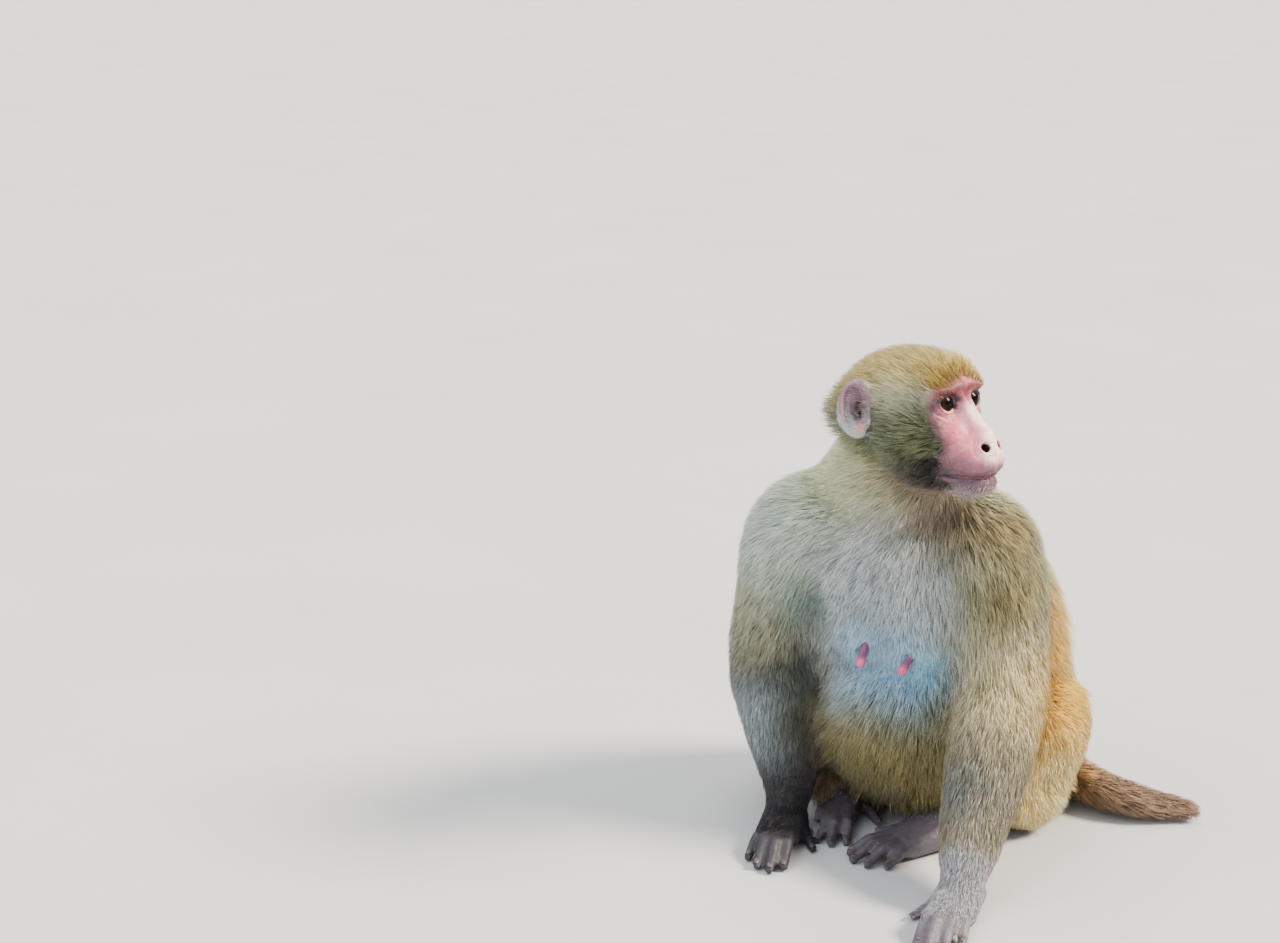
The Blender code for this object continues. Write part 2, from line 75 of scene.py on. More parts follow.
LIMB_NODES = ("upper_arm", "forearm", "hand", "thigh", "shank", "foot")
FLESH = ["head", "neck", "chest", "belly", "tail"]
FLESH += [f"ear_{side}" for side in SIDES]
FLESH += [f"{limb}_{side}" for limb in LIMB_NODES for side in SIDES]
HULL_NODES = FLESH + [f"{name}_{side}" for name in ("eye", "seat_pad") for side in SIDES]

# ---------------------------------------------------------------- sizes, in millimetres

CELL = 1.76             # grain of the first skin
NODE_SWELL = 0.6        # closes the joints between the solids
FLOOR_GAP = 0.15        # how far the skin stays above the floor
EYE_PLACE = (15.5, -41.5, 8.0)   # the left eye's centre in the head's own axes
EYE_RADIUS = 9.6
PUPIL, IRIS = 0.36, 0.76           # shares of the eyeball's radius, along its surface
EAR_PLACE = (50.0, 16.0, 4.0)      # the left ear's middle in the head's own axes
EAR_BEHIND_EYES = (55.77, -4.37)   # back and up from the eyes' middle to the ears' middle
EAR_SPREAD = math.radians(50)      # how far the ear's back edge stands out from the head
EAR_TIP_IN = math.radians(-8)      # how far its top leans towards the crown

PLAIN_KEPT = 0.09       # share of the first skin's faces kept under the coat
SAMPLE_AREA = 8e-6      # square metres for each sample of a solid's surface
REGION_BLUR = 26        # rounds of smoothing between two regions
FRONT_TURN = 0.22       # how far the skin faces forwards where the chest's pale coat ends
BREAST_REACH = 34       # how far the blue skin of the breast reaches round each teat
LOBE_TOP = -8           # the ear's lobe lies below this height in the ear's own axes
MANTLE_FOOT = 0.235     # metres above the floor
SHOULDER_FOOT = 0.245
FACE_HALF_WIDTHS = (    # height and half width of the bare face, in the head's own axes
    (-90, -20), (-66, -12), (-60, -3), (-56, 8), (-52.5, 18), (-48, 21.5), (-43, 23), (-30, 25),
    (-12, 26), (4, 28), (13, 28), (17.5, 25), (20.5, 18), (23, 6), (25, -6), (60, -12))
FACE_DEPTHS = (         # height and how far back the bare face reaches there
    (-80, -66), (-66, -56), (-52, -46), (-38, -47), (-20, -42), (0, -34), (20, -32))

# ---------------------------------------------------------------- small helpers


def unit(v):
    v = np.asarray(v, float)
    return v / np.maximum(np.linalg.norm(v, axis=-1, keepdims=True), 1e-12)


def ease(low, high, x):
    """0 below low, 1 above high, smooth between; low may be the larger."""
    t = np.clip((x - low) / (high - low), 0, 1)
    return t * t * (3 - 2 * t)


def dot(a, b):
    return (a * b).sum(-1)


def tone(code):
    """A colour written as six hex digits, as linear red, green and blue."""
    srgb = np.array([int(code[i:i + 2], 16) for i in (0, 2, 4)]) / 255
    return np.where(srgb <= 0.04045, srgb / 12.92, ((srgb + 0.055) / 1.055) ** 2.4)


def mixed(low, high, share):
    return low * (1 - share) + high * share


def box_centre(name):
    low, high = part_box(name)
    return np.array((low + high) / 2)


def tree_of(points):
    """A tree that finds the nearest of the points."""
    tree = KDTree(len(points))
    for i, point in enumerate(points):
        tree.insert(point, i)
    tree.balance()
    return tree


def surface_of(points, triangles):
    return BVHTree.FromPolygons(points.tolist(), triangles.tolist())


def keep(obj, replaced=()):
    """Sets a finished piece on the one body, with the nodes it stands for."""
    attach(obj, "root")
    if replaced:
        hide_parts(*replaced)
    return obj


def new_object(name, mesh, material=None):
    obj = bpy.data.objects.new(name, mesh)
    bpy.context.scene.collection.objects.link(obj)
    if material:
        mesh.materials.clear()
        mesh.materials.append(material)
    return obj


def mesh_from(bm, name):
    mesh = bpy.data.meshes.new(name)
    bm.to_mesh(mesh)
    bm.free()
    return mesh


def smooth_mesh_from(bm, name):
    for face in bm.faces:
        face.smooth = True
    return mesh_from(bm, name)


def put_into(whole, bm):
    """Adds one part's mesh to the whole."""
    part = mesh_from(bm, "part")
    whole.from_mesh(part)
    bpy.data.meshes.remove(part)


def evaluated_mesh(obj):
    """The object's mesh with its modifiers applied; the object itself goes."""
    graph = bpy.context.evaluated_depsgraph_get()
    mesh = bpy.data.meshes.new_from_object(obj.evaluated_get(graph))
    bpy.data.objects.remove(obj)
    return mesh


def read(items, what, width, kind=np.float32):
    """One property of all the items, as rows of the given width."""
    values = np.empty(len(items) * width, kind)
    items.foreach_get(what, values)
    return values.reshape(-1, width) if width > 1 else values


def points_of(mesh):
    return read(mesh.vertices, "co", 3).astype(float)


def triangles_of(mesh):
    mesh.calc_loop_triangles()
    return read(mesh.loop_triangles, "vertices", 3, np.int32)


def corners_of(points, triangles):
    """The triangles' first, second and third corners."""
    return (points[triangles[:, i]] for i in range(3))


def areas_of(points, triangles):
    a, b, c = corners_of(points, triangles)
    return np.linalg.norm(np.cross(b - a, c - a), axis=1) / 2


def corner_normals(points, triangles):
    """Each point's normal, from the triangles round it."""
    a, b, c = corners_of(points, triangles)
    face = np.cross(b - a, c - a)
    total = np.zeros_like(points)
    for i in range(3):
        for axis in range(3):
            total[:, axis] += np.bincount(triangles[:, i], face[:, axis], len(points))
    return unit(total)


class Web:
    """Who neighbours whom on a mesh, to spread values over its surface."""

    def __init__(self, mesh):
        edges = read(mesh.edges, "vertices", 2, np.int32)
        ends = np.concatenate([edges, edges[:, ::-1]])
        ends = ends[np.argsort(ends[:, 0], kind="stable")]
        self.count = len(mesh.vertices)
        self.here, self.other = ends[:, 0], ends[:, 1]
        self.first = np.searchsorted(self.here, np.arange(self.count))
        self.degree = np.bincount(self.here, minlength=self.count)

    def around(self, values):
        """The mean of each vertex's neighbours."""
        return np.add.reduceat(values[self.other], self.first, axis=0) / self.degree[:, None]

    def spread(self, values, times, share=0.6):
        """The values evened out with their neighbours'."""
        for _ in range(times):
            values = values * (1 - share) + self.around(values) * share
        return values

    def relax(self, points, times):
        """Smooths the shape without shrinking it."""
        for _ in range(times):
            for share in (0.5, -0.52):
                points = points + share * (self.around(points) - points)
        return points

    def distance_from(self, points, sources):
        """How far each vertex is from the sources, along the surface."""
        length = np.linalg.norm(points[self.here] - points[self.other], axis=1)
        first, other = self.first.tolist() + [len(self.other)], self.other.tolist()
        length, far = length.tolist(), [math.inf] * self.count
        queue = [(0.0, int(v)) for v in sources]
        for _, v in queue:
            far[v] = 0.0
        while queue:
            so_far, v = heapq.heappop(queue)
            if so_far > far[v]:
                continue
            for i in range(first[v], first[v + 1]):
                reach, w = so_far + length[i], other[i]
                if reach < far[w]:
                    far[w] = reach
                    heapq.heappush(queue, (reach, w))
        far = np.array(far)
        return np.where(np.isfinite(far), far, 0)


# ---------------------------------------------------------------- the head's own axes


def head_axes():
    """The eyes' middle, and the head's left, back and up as rows."""
    eyes = [box_centre(f"eye_{side}") for side in SIDES]
    ears = [box_centre(f"ear_{side}") for side in SIDES]
    left = unit(eyes[0] - eyes[1])
    middle = (eyes[0] + eyes[1]) / 2
    back = (ears[0] + ears[1]) / 2 - middle
    back = unit(back - left * dot(back, left))
    up = np.cross(left, back)
    turn = math.atan2(-EAR_BEHIND_EYES[1], EAR_BEHIND_EYES[0])
    true_back = math.cos(turn) * back + math.sin(turn) * up
    return middle, np.array([left, true_back, np.cross(left, true_back)])


EYES_MIDDLE, HEAD_AXES = head_axes()
EYES_LOCAL = np.array([0, EYE_PLACE[1], EYE_PLACE[2]])


def to_head(points):
    """Room to head: metres of the room's axes as millimetres of the head's own."""
    return (np.asarray(points) - EYES_MIDDLE) @ HEAD_AXES.T / MM + EYES_LOCAL


def from_head(local):
    """Head to room, the other way."""
    return (np.asarray(local, float) - EYES_LOCAL) @ HEAD_AXES * MM + EYES_MIDDLE


def on_left(local):
    """The points of the head's right side mirrored to its left."""
    return np.column_stack([np.abs(local[:, 0]), local[:, 1:]])


def ear_turn():
    """The ear's width, thickness and height as rows, in the head's own axes on the left side."""
    cos, sin = math.cos(EAR_SPREAD), math.sin(EAR_SPREAD)
    about_up = np.array([[cos, -sin, 0], [sin, cos, 0], [0, 0, 1]])
    cos, sin = math.cos(EAR_TIP_IN), math.sin(EAR_TIP_IN)
    about_back = np.array([[cos, 0, sin], [0, 1, 0], [-sin, 0, cos]])
    return (about_up @ about_back).T


def to_ear(local):
    """Places in the axes of the nearer ear: across towards the back, in from its hollow face, up."""
    return (on_left(local) - EAR_PLACE) @ ear_turn().T


# ---------------------------------------------------------------- the hull and the skin's mesh


def joined_nodes(names, swell):
    """The named solids in one mesh, each swollen a little so that they meet."""
    whole = bmesh.new()
    for name in names:
        bm = bmesh.new()
        bm.from_mesh(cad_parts[name].data)
        bmesh.ops.remove_doubles(bm, verts=bm.verts, dist=1e-5)
        bm.normal_update()
        for v in bm.verts:
            v.co += v.normal * swell
        put_into(whole, bm)
    return mesh_from(whole, "joined")


def face_zone(local):
    """True over the bare face and its hairy border."""
    x, y, z = on_left(local).T
    return (x < 30) & (y < -31) & (z < 25) & (z > -74)


def feature_zone(local):
    """True round the eyes, nose and mouth."""
    x, y, z = on_left(local).T
    eyes = (x < 26) & (x > 5) & (z > -2) & (z < 18) & (y < -36)
    nose = (x < 11) & (z < -18) & (z > -34) & (y < -66)
    mouth = (x < 25) & (z < -44) & (z > -55) & (y < -44)
    return eyes | nose | mouth


def ear_zone(local):
    """True over both ears."""
    at = np.abs(to_ear(local))
    return (at[:, 0] < 18) & (at[:, 1] < 10) & (at[:, 2] < 26)


def refined(bm, zone):
    """Cuts every edge of the zone in two."""
    local = to_head([v.co for v in bm.verts])
    inside = zone(local)
    bm.verts.ensure_lookup_table()
    edges = [e for e in bm.edges if inside[e.verts[0].index] and inside[e.verts[1].index]]
    bmesh.ops.subdivide_edges(bm, edges=edges, cuts=1, use_grid_fill=True)
    bmesh.ops.triangulate(bm, faces=[f for f in bm.faces if len(f.verts) > 3])
    bm.verts.index_update()


def plain_zone(points):
    """True where the coat hides the skin's grain: not the face, ears, hands or feet."""
    local = to_head(points)
    bare = face_zone(local)
    for name in [f"{part}_{side}" for part in ("ear", "hand", "foot") for side in SIDES]:
        low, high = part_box(name)
        bare |= ((points > np.array(low)) & (points < np.array(high))).all(1)
    return ~bare


def closed_hull():
    """The solids of the flesh made into one closed surface of an even grain."""
    obj = new_object("hull", joined_nodes(HULL_NODES, NODE_SWELL * MM))
    remesh = obj.modifiers.new("grain", "REMESH")
    remesh.mode = "VOXEL"
    remesh.voxel_size = CELL * MM
    remesh.adaptivity = 0
    mesh = evaluated_mesh(obj)
    mesh.vertices.foreach_set("co", Web(mesh).relax(points_of(mesh), 4).ravel())
    return mesh


def thinned_under_coat(mesh):
    """The same surface with a coarser grain wherever the coat hides it."""
    obj = new_object("hull", mesh)
    group = obj.vertex_groups.new(name="plain")
    plain = plain_zone(points_of(mesh))
    group.add(np.flatnonzero(plain).tolist(), 1.0, "REPLACE")
    thin = obj.modifiers.new("thin", "DECIMATE")
    thin.ratio = 1 - plain.mean() * (1 - PLAIN_KEPT)
    thin.vertex_group = "plain"
    return evaluated_mesh(obj)


def hull_mesh():
    """One closed surface round all the flesh: as far out as the coat reaches."""
    bm = bmesh.new()
    bm.from_mesh(thinned_under_coat(closed_hull()))
    for zone in (face_zone, feature_zone, ear_zone):
        refined(bm, zone)
    bmesh.ops.triangulate(bm, faces=bm.faces)
    return mesh_from(bm, "skin")


# ---------------------------------------------------------------- the coat's regions

# Each region of the body: how deep the coat lies over the skin, how long its tufts are and how
# thick (millimetres), how many tufts stand on a square centimetre, how far they lean together
# into locks, and the colours at their roots and tips. The roots are darker than the tips as
# painted shade deep in the coat.
REGIONS = {
    #               depth length thick  dense locks   root      tip
    "brow":        (5.0,  12.0, 0.44, 160.0, 0.10, "4a3604", "c49a20"),
    "crown":       (8.0,  19.0, 0.50, 125.0, 0.20, "906a1c", "fede84"),
    "temple":      (5.0,  16.0, 0.50, 125.0, 0.14, "dce0b8", "ffffe8"),
    "cheek":       (8.5,  22.0, 0.52, 115.0, 0.26, "222814", "868e60"),
    # the jaw's hair is dark, and darker still as painted shade under the jaw
    "jaw":         (7.0,  18.0, 0.54, 100.0, 0.20, "0e0b0a", "2e2a20"),
    "chin":        (2.2,   9.0, 0.34, 150.0, 0.12, "76646c", "cfc2c4"),
    "ear":         (0.8,   7.0, 0.26,  60.0, 0.06, "86767c", "d0c6c4"),
    "lobe":        (1.0,   8.0, 0.34, 150.0, 0.10, "8e989c", "d6e2e6"),
    "throat":      (6.0,  15.0, 0.60,  60.0, 0.25, "5e463c", "947868"),
    "mantle":      (11.0,  28.0, 0.68,  72.0, 0.22, "807e50", "ecebb8"),
    "shoulder":    (10.0,  28.0, 0.68,  70.0, 0.22, "7e8a74", "e8f4dc"),
    "chest":       (9.0,  22.0, 0.65,  69.4, 0.13, "86949c", "e6f2f4"),
    "breast":      (3.5,  14.0, 0.55,  40.0, 0.20, "74b4e8", "bce8ff"),
    "belly":       (10.0,  28.0, 0.64,  68.0, 0.26, "564a24", "aea05e"),
    "back":        (11.0,  31.0, 0.73,  58.2, 0.17, "8a6426", "e8b654"),
    "rump":        (11.0,  31.0, 0.73,  58.2, 0.17, "a86418", "ffc456"),
    "upper_arm":   (8.5,  26.0, 0.66,  72.0, 0.24, "585844", "c6c4a2"),
    "forearm":     (5.5,  20.0, 0.62,  84.0, 0.26, "625848", "c2b698"),
    # shaded_arm and shaded_hand: the right forearm and hand, darkened as painted shade
    "shaded_arm":    (5.5,  18.0, 0.70,  80.0, 0.25, "1c1a1e", "545052"),
    "hand":        (1.8,   9.0, 0.42, 150.0, 0.12, "8a8a90", "eceef2"),
    "shaded_hand":   (1.8,   9.0, 0.42, 150.0, 0.12, "201e22", "64626a"),
    "thigh":       (9.0,  27.0, 0.69,  67.2, 0.17, "9a6018", "f8bc50"),
    "shank":       (6.5,  20.0, 0.75,  66.0, 0.25, "76624a", "cdb48c"),
    "foot":        (1.8,   9.0, 0.42, 120.0, 0.12, "5e5c64", "a8a6ae"),
    "tail":        (7.0,  21.0, 0.72,  76.0, 0.22, "543e30", "987a64"),
}
# Lighter, darker and warmer patches over those regions, some of them painted shade and painted light
# as marked: the place in metres of the room's axes, the radius, the colours at roots and tips, and the
# strength.
PATCHES = [
    ((-0.105, 0.000, 0.335), 0.052, "bcca90", "f6ffc8", 0.85),
    # paler and bluer on the right shoulder: partly its grey-green coat, partly painted light from the sky
    ((-0.144, -0.020, 0.270), 0.048, "a8c0b0", "e6faec", 0.75),
    ((-0.163, -0.026, 0.100), 0.045, "7a8c92", "d4e6ea", 0.7),
    # near black over the right forearm, hand and knee: painted shade
    ((-0.126, -0.045, 0.025), 0.060, "060607", "1e1c1f", 0.95),
    ((-0.045, -0.025, 0.285), 0.035, "a0a2a4", "e6eaee", 0.6),
    # darker under the chin: painted shadow of the head
    ((0.002, -0.024, 0.300), 0.036, "54382c", "846452", 0.85),
    # this line and the next: darker between the right arm and the body, painted shade
    ((-0.127, 0.000, 0.150), 0.026, "30362c", "70786a", 0.8),
    ((-0.123, -0.015, 0.105), 0.024, "26281e", "625e48", 0.8),
    ((-0.116, -0.008, 0.215), 0.026, "465c58", "8eb2ac", 0.7),
    # this line and the next: darker between the left arm and the belly, painted shade
    ((0.004, -0.016, 0.138), 0.020, "4a5040", "969a7c", 0.7),
    ((0.005, -0.025, 0.089), 0.022, "3a361e", "847648", 0.7),
    ((0.029, -0.034, 0.250), 0.026, "6a6a48", "b8b084", 0.6),
    ((-0.010, -0.035, 0.168), 0.024, "5cc8ff", "b0f2ff", 0.94),
    ((-0.085, -0.012, 0.145), 0.017, "84bce4", "c4e8fc", 0.7),
    ((-0.046, -0.030, 0.050), 0.040, "443a20", "96864e", 0.7),
    ((0.055, -0.010, 0.300), 0.040, "54400c", "b48c24", 0.8),
    ((0.052, -0.034, 0.240), 0.028, "443410", "94803c", 0.8),
    ((0.078, -0.010, 0.255), 0.030, "665220", "ccae58", 0.6),
    # paler on the left arm: partly its pale coat, partly a painted highlight where the sun falls
    ((0.061, -0.033, 0.170), 0.046, "dcc484", "fff6cc", 0.92),
    ((0.065, -0.085, 0.100), 0.040, "6c6250", "ccc0a4", 0.6),
    ((0.030, -0.088, 0.100), 0.028, "505a5a", "909e9c", 0.7),
    ((0.000, 0.130, 0.235), 0.070, "8a7440", "e8d08a", 0.6),
    ((0.088, 0.062, 0.190), 0.045, "d47c10", "ffce50", 0.85),
    ((0.100, 0.030, 0.140), 0.060, "dc800e", "ffd048", 0.92),
    # palest low on the left thigh: golden coat, paled towards white as a painted highlight
    ((0.090, 0.035, 0.050), 0.055, "f2be5c", "fff0ae", 0.92),
]
PATCH_EDGE = 2.8        # how sharply a patch ends: 2 is soft, and more is sharper
NAMES = list(REGIONS)
DEPTH, LENGTH, THICK, DENSE, LOCKS = (
    np.array([REGIONS[name][i] for name in NAMES]) for i in range(5))
ROOT_TONE, TIP_TONE = (np.array([tone(REGIONS[name][i]) for name in NAMES]) for i in (5, 6))


def share_of(shares, *names):
    """The share that the named regions have together at each point."""
    return shares[:, [NAMES.index(name) for name in names]].sum(1)


def laid_over(colours, code, share):
    return colours * (1 - share[:, None]) + tone(code) * share[:, None]


def coat_tones(points, shares):
    """The colours of the hair at its roots and tips, over each point of the body."""
    roots, tips = shares @ ROOT_TONE, shares @ TIP_TONE
    for place, radius, root, tip, strength in PATCHES:
        near = strength * np.exp(-(np.linalg.norm(points - place, axis=1) / radius) ** PATCH_EDGE)
        roots = laid_over(roots, root, near)
        tips = laid_over(tips, tip, near)
    return roots, tips


def sampled(mesh):
    """Random places all over a solid's surface."""
    points, triangles = points_of(mesh), triangles_of(mesh)
    area = areas_of(points, triangles)
    count = int(area.sum() / SAMPLE_AREA) + 20
    pick = DICE.choice(len(area), count, p=area / area.sum())
    a, b, c = corners_of(points, triangles[pick])
    u, v = DICE.random((2, count, 1))
    u, v = np.where(u + v > 1, 1 - u, u), np.where(u + v > 1, 1 - v, v)
    return a + u * (b - a) + v * (c - a)


def node_of_each(points):
    """The index in FLESH of the solid nearest to each point."""
    samples = [sampled(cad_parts[name].data) for name in FLESH]
    owner = np.repeat(np.arange(len(FLESH)), [len(places) for places in samples])
    tree = tree_of(np.concatenate(samples))
    return owner[[tree.find(p)[1] for p in points]]


def face_edge(local):
    """About how far each point lies outside the bare face's edge; below 0 inside it."""
    x, y, z = on_left(local).T
    half, back = np.interp(z, *zip(*FACE_HALF_WIDTHS)), np.interp(z, *zip(*FACE_DEPTHS))
    return np.maximum(x - half, y - back)


def region_rules(points, local, node, front):
    """Each region's name and where it lies; the first rule that holds at a point counts."""

    def pair(name):
        return node[f"{name}_left"] | node[f"{name}_right"]

    x, y, z = on_left(local).T
    head = node["head"]
    teats = [box_centre(f"nipple_{side}") for side in SIDES]
    to_teat = np.min([np.linalg.norm((points - t) * (1, 1, 1.15), axis=1) for t in teats], 0)
    return [
        ("brow", head & (z > 17) & (z < 31) & (y < -30)),
        ("temple", head & (z > 6) & (z < 21) & (y < 2) & (x > 21)),
        ("chin", head & (z < -50) & (y < -50) & (x < 19)),
        ("jaw", head & (z < -34) & (z > -62) & (y < -12) & (x > 14)),
        ("throat", head & (z < -46)),
        ("crown", head & (z > 14)),
        ("cheek", head),
        ("lobe", pair("ear") & (to_ear(local)[:, 2] < LOBE_TOP)),
        ("ear", pair("ear")),
        ("throat", node["neck"] & front & (y < 6) & (x < 40) & (z < -40)),
        ("mantle", node["neck"]),
        ("breast", (node["chest"] | node["belly"]) & (to_teat < BREAST_REACH * MM) & front),
        ("chest", node["chest"] & front),
        ("mantle", node["chest"] & (points[:, 2] > MANTLE_FOOT)),
        ("back", node["chest"]),
        ("belly", node["belly"] & front),
        ("rump", node["belly"]),
        ("shoulder", pair("upper_arm") & (points[:, 2] > SHOULDER_FOOT)),
        ("upper_arm", pair("upper_arm")),
        ("tail", node["tail"]),
        ("forearm", node["forearm_left"]),
        # the right forearm and hand take darker colours as painted shade
        ("shaded_arm", node["forearm_right"]),
        ("shaded_hand", node["hand_right"]),
    ] + [(name, pair(name)) for name in ("hand", "thigh", "shank", "foot")]


def regions_of(points, normals, local, nodes, web):
    """The share of each region at each point, adding up to 1."""
    node = {name: nodes == i for i, name in enumerate(FLESH)}
    front = -web.spread(normals.copy(), 8)[:, 1] > FRONT_TURN
    rules = region_rules(points, local, node, front)
    index = np.select([rule for _, rule in rules], [NAMES.index(name) for name, _ in rules])
    shares = web.spread(np.eye(len(NAMES))[index], REGION_BLUR)
    return shares / shares.sum(1, keepdims=True)


def past_face(points, local, nodes, web):
    """How far each point lies outside the bare face, in millimetres along the skin; 0 on it."""
    bare = (face_edge(local) < 0) & (nodes == FLESH.index("head"))
    far = web.distance_from(points, np.flatnonzero(bare))
    return web.spread(far[:, None], 3)[:, 0] / MM


# ---------------------------------------------------------------- the lie of the coat

NOSE_TIP = (0, -84, -24)


def along(vectors, normals):
    """The vectors laid flat on the surface, at unit length."""
    return unit(vectors - normals * dot(vectors, normals)[:, None])


def lie_of_coat(points, normals, web):
    """The way the hair points at each vertex: away from the nose, over the body and down the limbs."""
    nose = np.linalg.norm(to_head(points) - NOSE_TIP, axis=1)
    far = web.distance_from(points, [int(nose.argmin())])
    far = web.spread(far[:, None], 8)[:, 0]
    step = points[web.other] - points[web.here]
    rise = far[web.other] - far[web.here]
    slope = np.add.reduceat(step * (rise / dot(step, step))[:, None], web.first, axis=0)
    flow = along(slope, normals)
    for _ in range(6):
        flow = along(web.spread(flow, 6), normals)
    return flow


# ---------------------------------------------------------------- from the hull to the skin

SINK_STEPS = 5


def sunk(points, triangles, web, depth):
    """The hull drawn in by the coat's depth, so that the tips of the coat make the outline."""
    soft = ease(1.5, 5, depth)[:, None] * 0.5
    for _ in range(SINK_STEPS):
        points = points - corner_normals(points, triangles) * (depth / SINK_STEPS * MM)[:, None]
        points = points * (1 - soft) + web.around(points) * soft
    points[:, 2] = np.maximum(points[:, 2], FLOOR_GAP * MM)
    return points


def curve_through(path, between=6):
    """A smooth line through a few points."""
    path = np.asarray(path, float)
    ends = np.vstack([2 * path[0] - path[1], path, 2 * path[-1] - path[-2]])
    line = []
    for a, b, c, d in zip(ends, ends[1:], ends[2:], ends[3:]):
        for t in np.arange(between) / between:
            line.append(0.5 * (2 * b + (c - a) * t + (2 * a - 5 * b + 4 * c - d) * t ** 2
                               + (3 * b - 3 * c + d - a) * t ** 3))
    return np.array(line + [path[-1]])


def stroke(at, line, radius):
    """1 on a line through the points, fading out over its radius."""
    best = np.linalg.norm(at - line[0], axis=1)
    for a, b in zip(line, line[1:]):
        reach = max(dot(b - a, b - a), 1e-9)
        t = np.clip(dot(at - a, b - a) / reach, 0, 1)[:, None]
        best = np.minimum(best, np.linalg.norm(at - a - t * (b - a), axis=1))
    return np.exp(-(best / radius) ** 2)


def near_line(local, path, radius):
    """A stroke laid on the face's own surface; both sides of the face at once."""
    at = on_left(local)
    line = np.atleast_2d(np.asarray(path, float))
    if len(line) > 1:
        line = curve_through(line)
    close = at[np.linalg.norm(at - line.mean(0), axis=1) < 60]
    line = np.array([close[np.argmin(np.linalg.norm(close - p, axis=1))] for p in line])
    for _ in range(4 if len(line) > 4 else 0):
        line[1:-1] = line[1:-1] * 0.5 + (line[:-2] + line[2:]) * 0.25
    return stroke(at, line, radius)


# Lines and spots on the face, in millimetres of the head's own axes, for the left side and its
# mirror: the path, the radius, and how far the skin rises there.
MOUTH = [(0, -84, -49), (6, -81, -49), (13, -72, -48.5), (18.5, -60, -48), (23, -48, -47), (25.5, -41, -47)]
FACE_FORMS = [
    ([(0, -57, 19.5), (8, -57.5, 21.5), (16, -56.5, 22.5), (24, -50, 21), (29, -43, 16)], 4.5, -1.2),
    ([(8, -52, 15.5), (15, -52.5, 17), (23, -48, 15)], 2.6, -1.2),
    ([(0, -56, 18), (0, -55, 12)], 3.5, -1.0),
    ([(0, -55, 13), (0, -57, 8), (0, -60, 2), (0, -63, -3)], 6.8, -5.0),
    ([(0, -68, -10), (0, -73, -16), (0, -77, -21)], 3.6, 0.6),
    ([(8.5, -54, 3), (8.5, -58, -5), (9.5, -64, -13)], 2.8, -0.7),
    ([(4.6, -78.5, -19.5), (8.4, -76.5, -21), (10.6, -74.5, -25), (9.0, -77, -30)], 1.8, 1.0),
    ([(0, -81, -22), (0, -83, -29)], 1.6, 0.9),
    ([(12.5, -71, -19), (13.5, -71, -26), (12, -74, -32)], 1.5, -0.6),
    ([(0, -84, -34), (0, -85.5, -41)], 1.6, -0.4),
    ([(8, -80, -40), (14, -71, -41), (19, -58, -41)], 4.5, 1.0),
    (MOUTH, 1.0, -2.2),
    ([(0, -85, -46.8), (7, -81, -46.6), (13, -72.5, -46), (18, -61, -45.5)], 1.6, 0.3),
    ([(0, -82, -51), (7, -79, -51), (13, -70, -50.5), (18, -60, -50)], 1.8, -0.8),
    ([(0, -80, -57), (8, -75, -57)], 3.0, -0.3),
    ([(0, -80, -70), (8, -76, -70)], 6.0, -2.2),
    ([(6.5, -53, 1.5), (12, -54, -2.6), (18, -52.5, -3), (24, -46, 1)], 0.9, -0.6),
    ([(7.5, -55, -3), (13, -56, -7), (20, -53, -7), (26, -45, -3)], 1.0, -0.3),
    ([(9, -57, -8), (14, -58, -12), (21, -53, -12), (26, -45, -9)], 1.1, -0.25),
    ([(7, -54, -0.8), (12.5, -55, -4.8), (19, -53, -5), (25, -46, -1)], 1.3, 0.4),
    ([(24, -47, 11), (28, -42, 13)], 0.8, -0.4),
    ([(25, -46, 8), (30, -40, 8)], 0.8, -0.4),
    ([(24, -46, 4.5), (29, -40, 2.5)], 0.8, -0.4),
    ([(11, -66, -14), (16, -60, -19), (20, -55, -27)], 0.9, -0.4),
    ([(14, -69, -28), (18, -62, -32), (21, -54, -38)], 0.9, -0.4),
    ([(12, -74, -34), (17, -65, -37), (21, -56, -42)], 0.8, -0.35),
    ([(3, -57.5, 24), (3.5, -56.5, 17)], 0.8, -0.4),
    ([(22, -54, -42), (24, -48, -50)], 1.4, -0.5),
]
NOSTRIL = [(6.7, -77.4, -25.8), (7.0, -77, -25.2)]
NOSTRIL_RADIUS, NOSTRIL_DEPTH = 3.7, 6.0

# The eye's opening, along the eyeball's surface from the middle of the pupil.
LID_INNER, LID_OUTER, UPPER_LID, LOWER_LID = 7.5, 9.2, 6.7, 6.2
LID_TILT = math.radians(7)
LID_THICK = 1.0
LID_HEM = 0.5         # how far the lid's edge swells
BEHIND_EYE = 0.8      # how far the skin lies behind the eyeball's surface inside the opening
LIDS_REACH = 17       # how far from the eyeball's middle the lids still shape the skin


def eye_opening(local, side):
    """Each point's place round one eyeball: radius, across, up, and distance outside the lids' edge."""
    from_eye = local - np.array(EYE_PLACE) * (side, 1, 1)
    radius = np.linalg.norm(from_eye, axis=1)
    way = from_eye / np.maximum(radius, 1e-6)[:, None]
    out = np.arctan2(side * way[:, 0], -way[:, 1]) * EYE_RADIUS
    up = np.arcsin(np.clip(way[:, 2], -1, 1)) * EYE_RADIUS
    across = out * math.cos(LID_TILT) + up * math.sin(LID_TILT)
    rise = up * math.cos(LID_TILT) - out * math.sin(LID_TILT)
    wide = np.where(across < 0, LID_INNER, LID_OUTER)
    bow = np.clip(1 - (across / wide) ** 2, 0, 1) ** 0.72
    half = np.where(rise > 0, UPPER_LID, LOWER_LID) * bow
    past_corner = np.maximum(np.abs(across) - wide, 0)
    outside = np.hypot(np.maximum(np.abs(rise) - half, 0), past_corner)
    inside = np.minimum(half - np.abs(rise), wide - np.abs(across)) * 0.8
    edge = np.where(outside > 0, outside, -np.maximum(inside, 0))
    return from_eye, radius, across, rise, edge


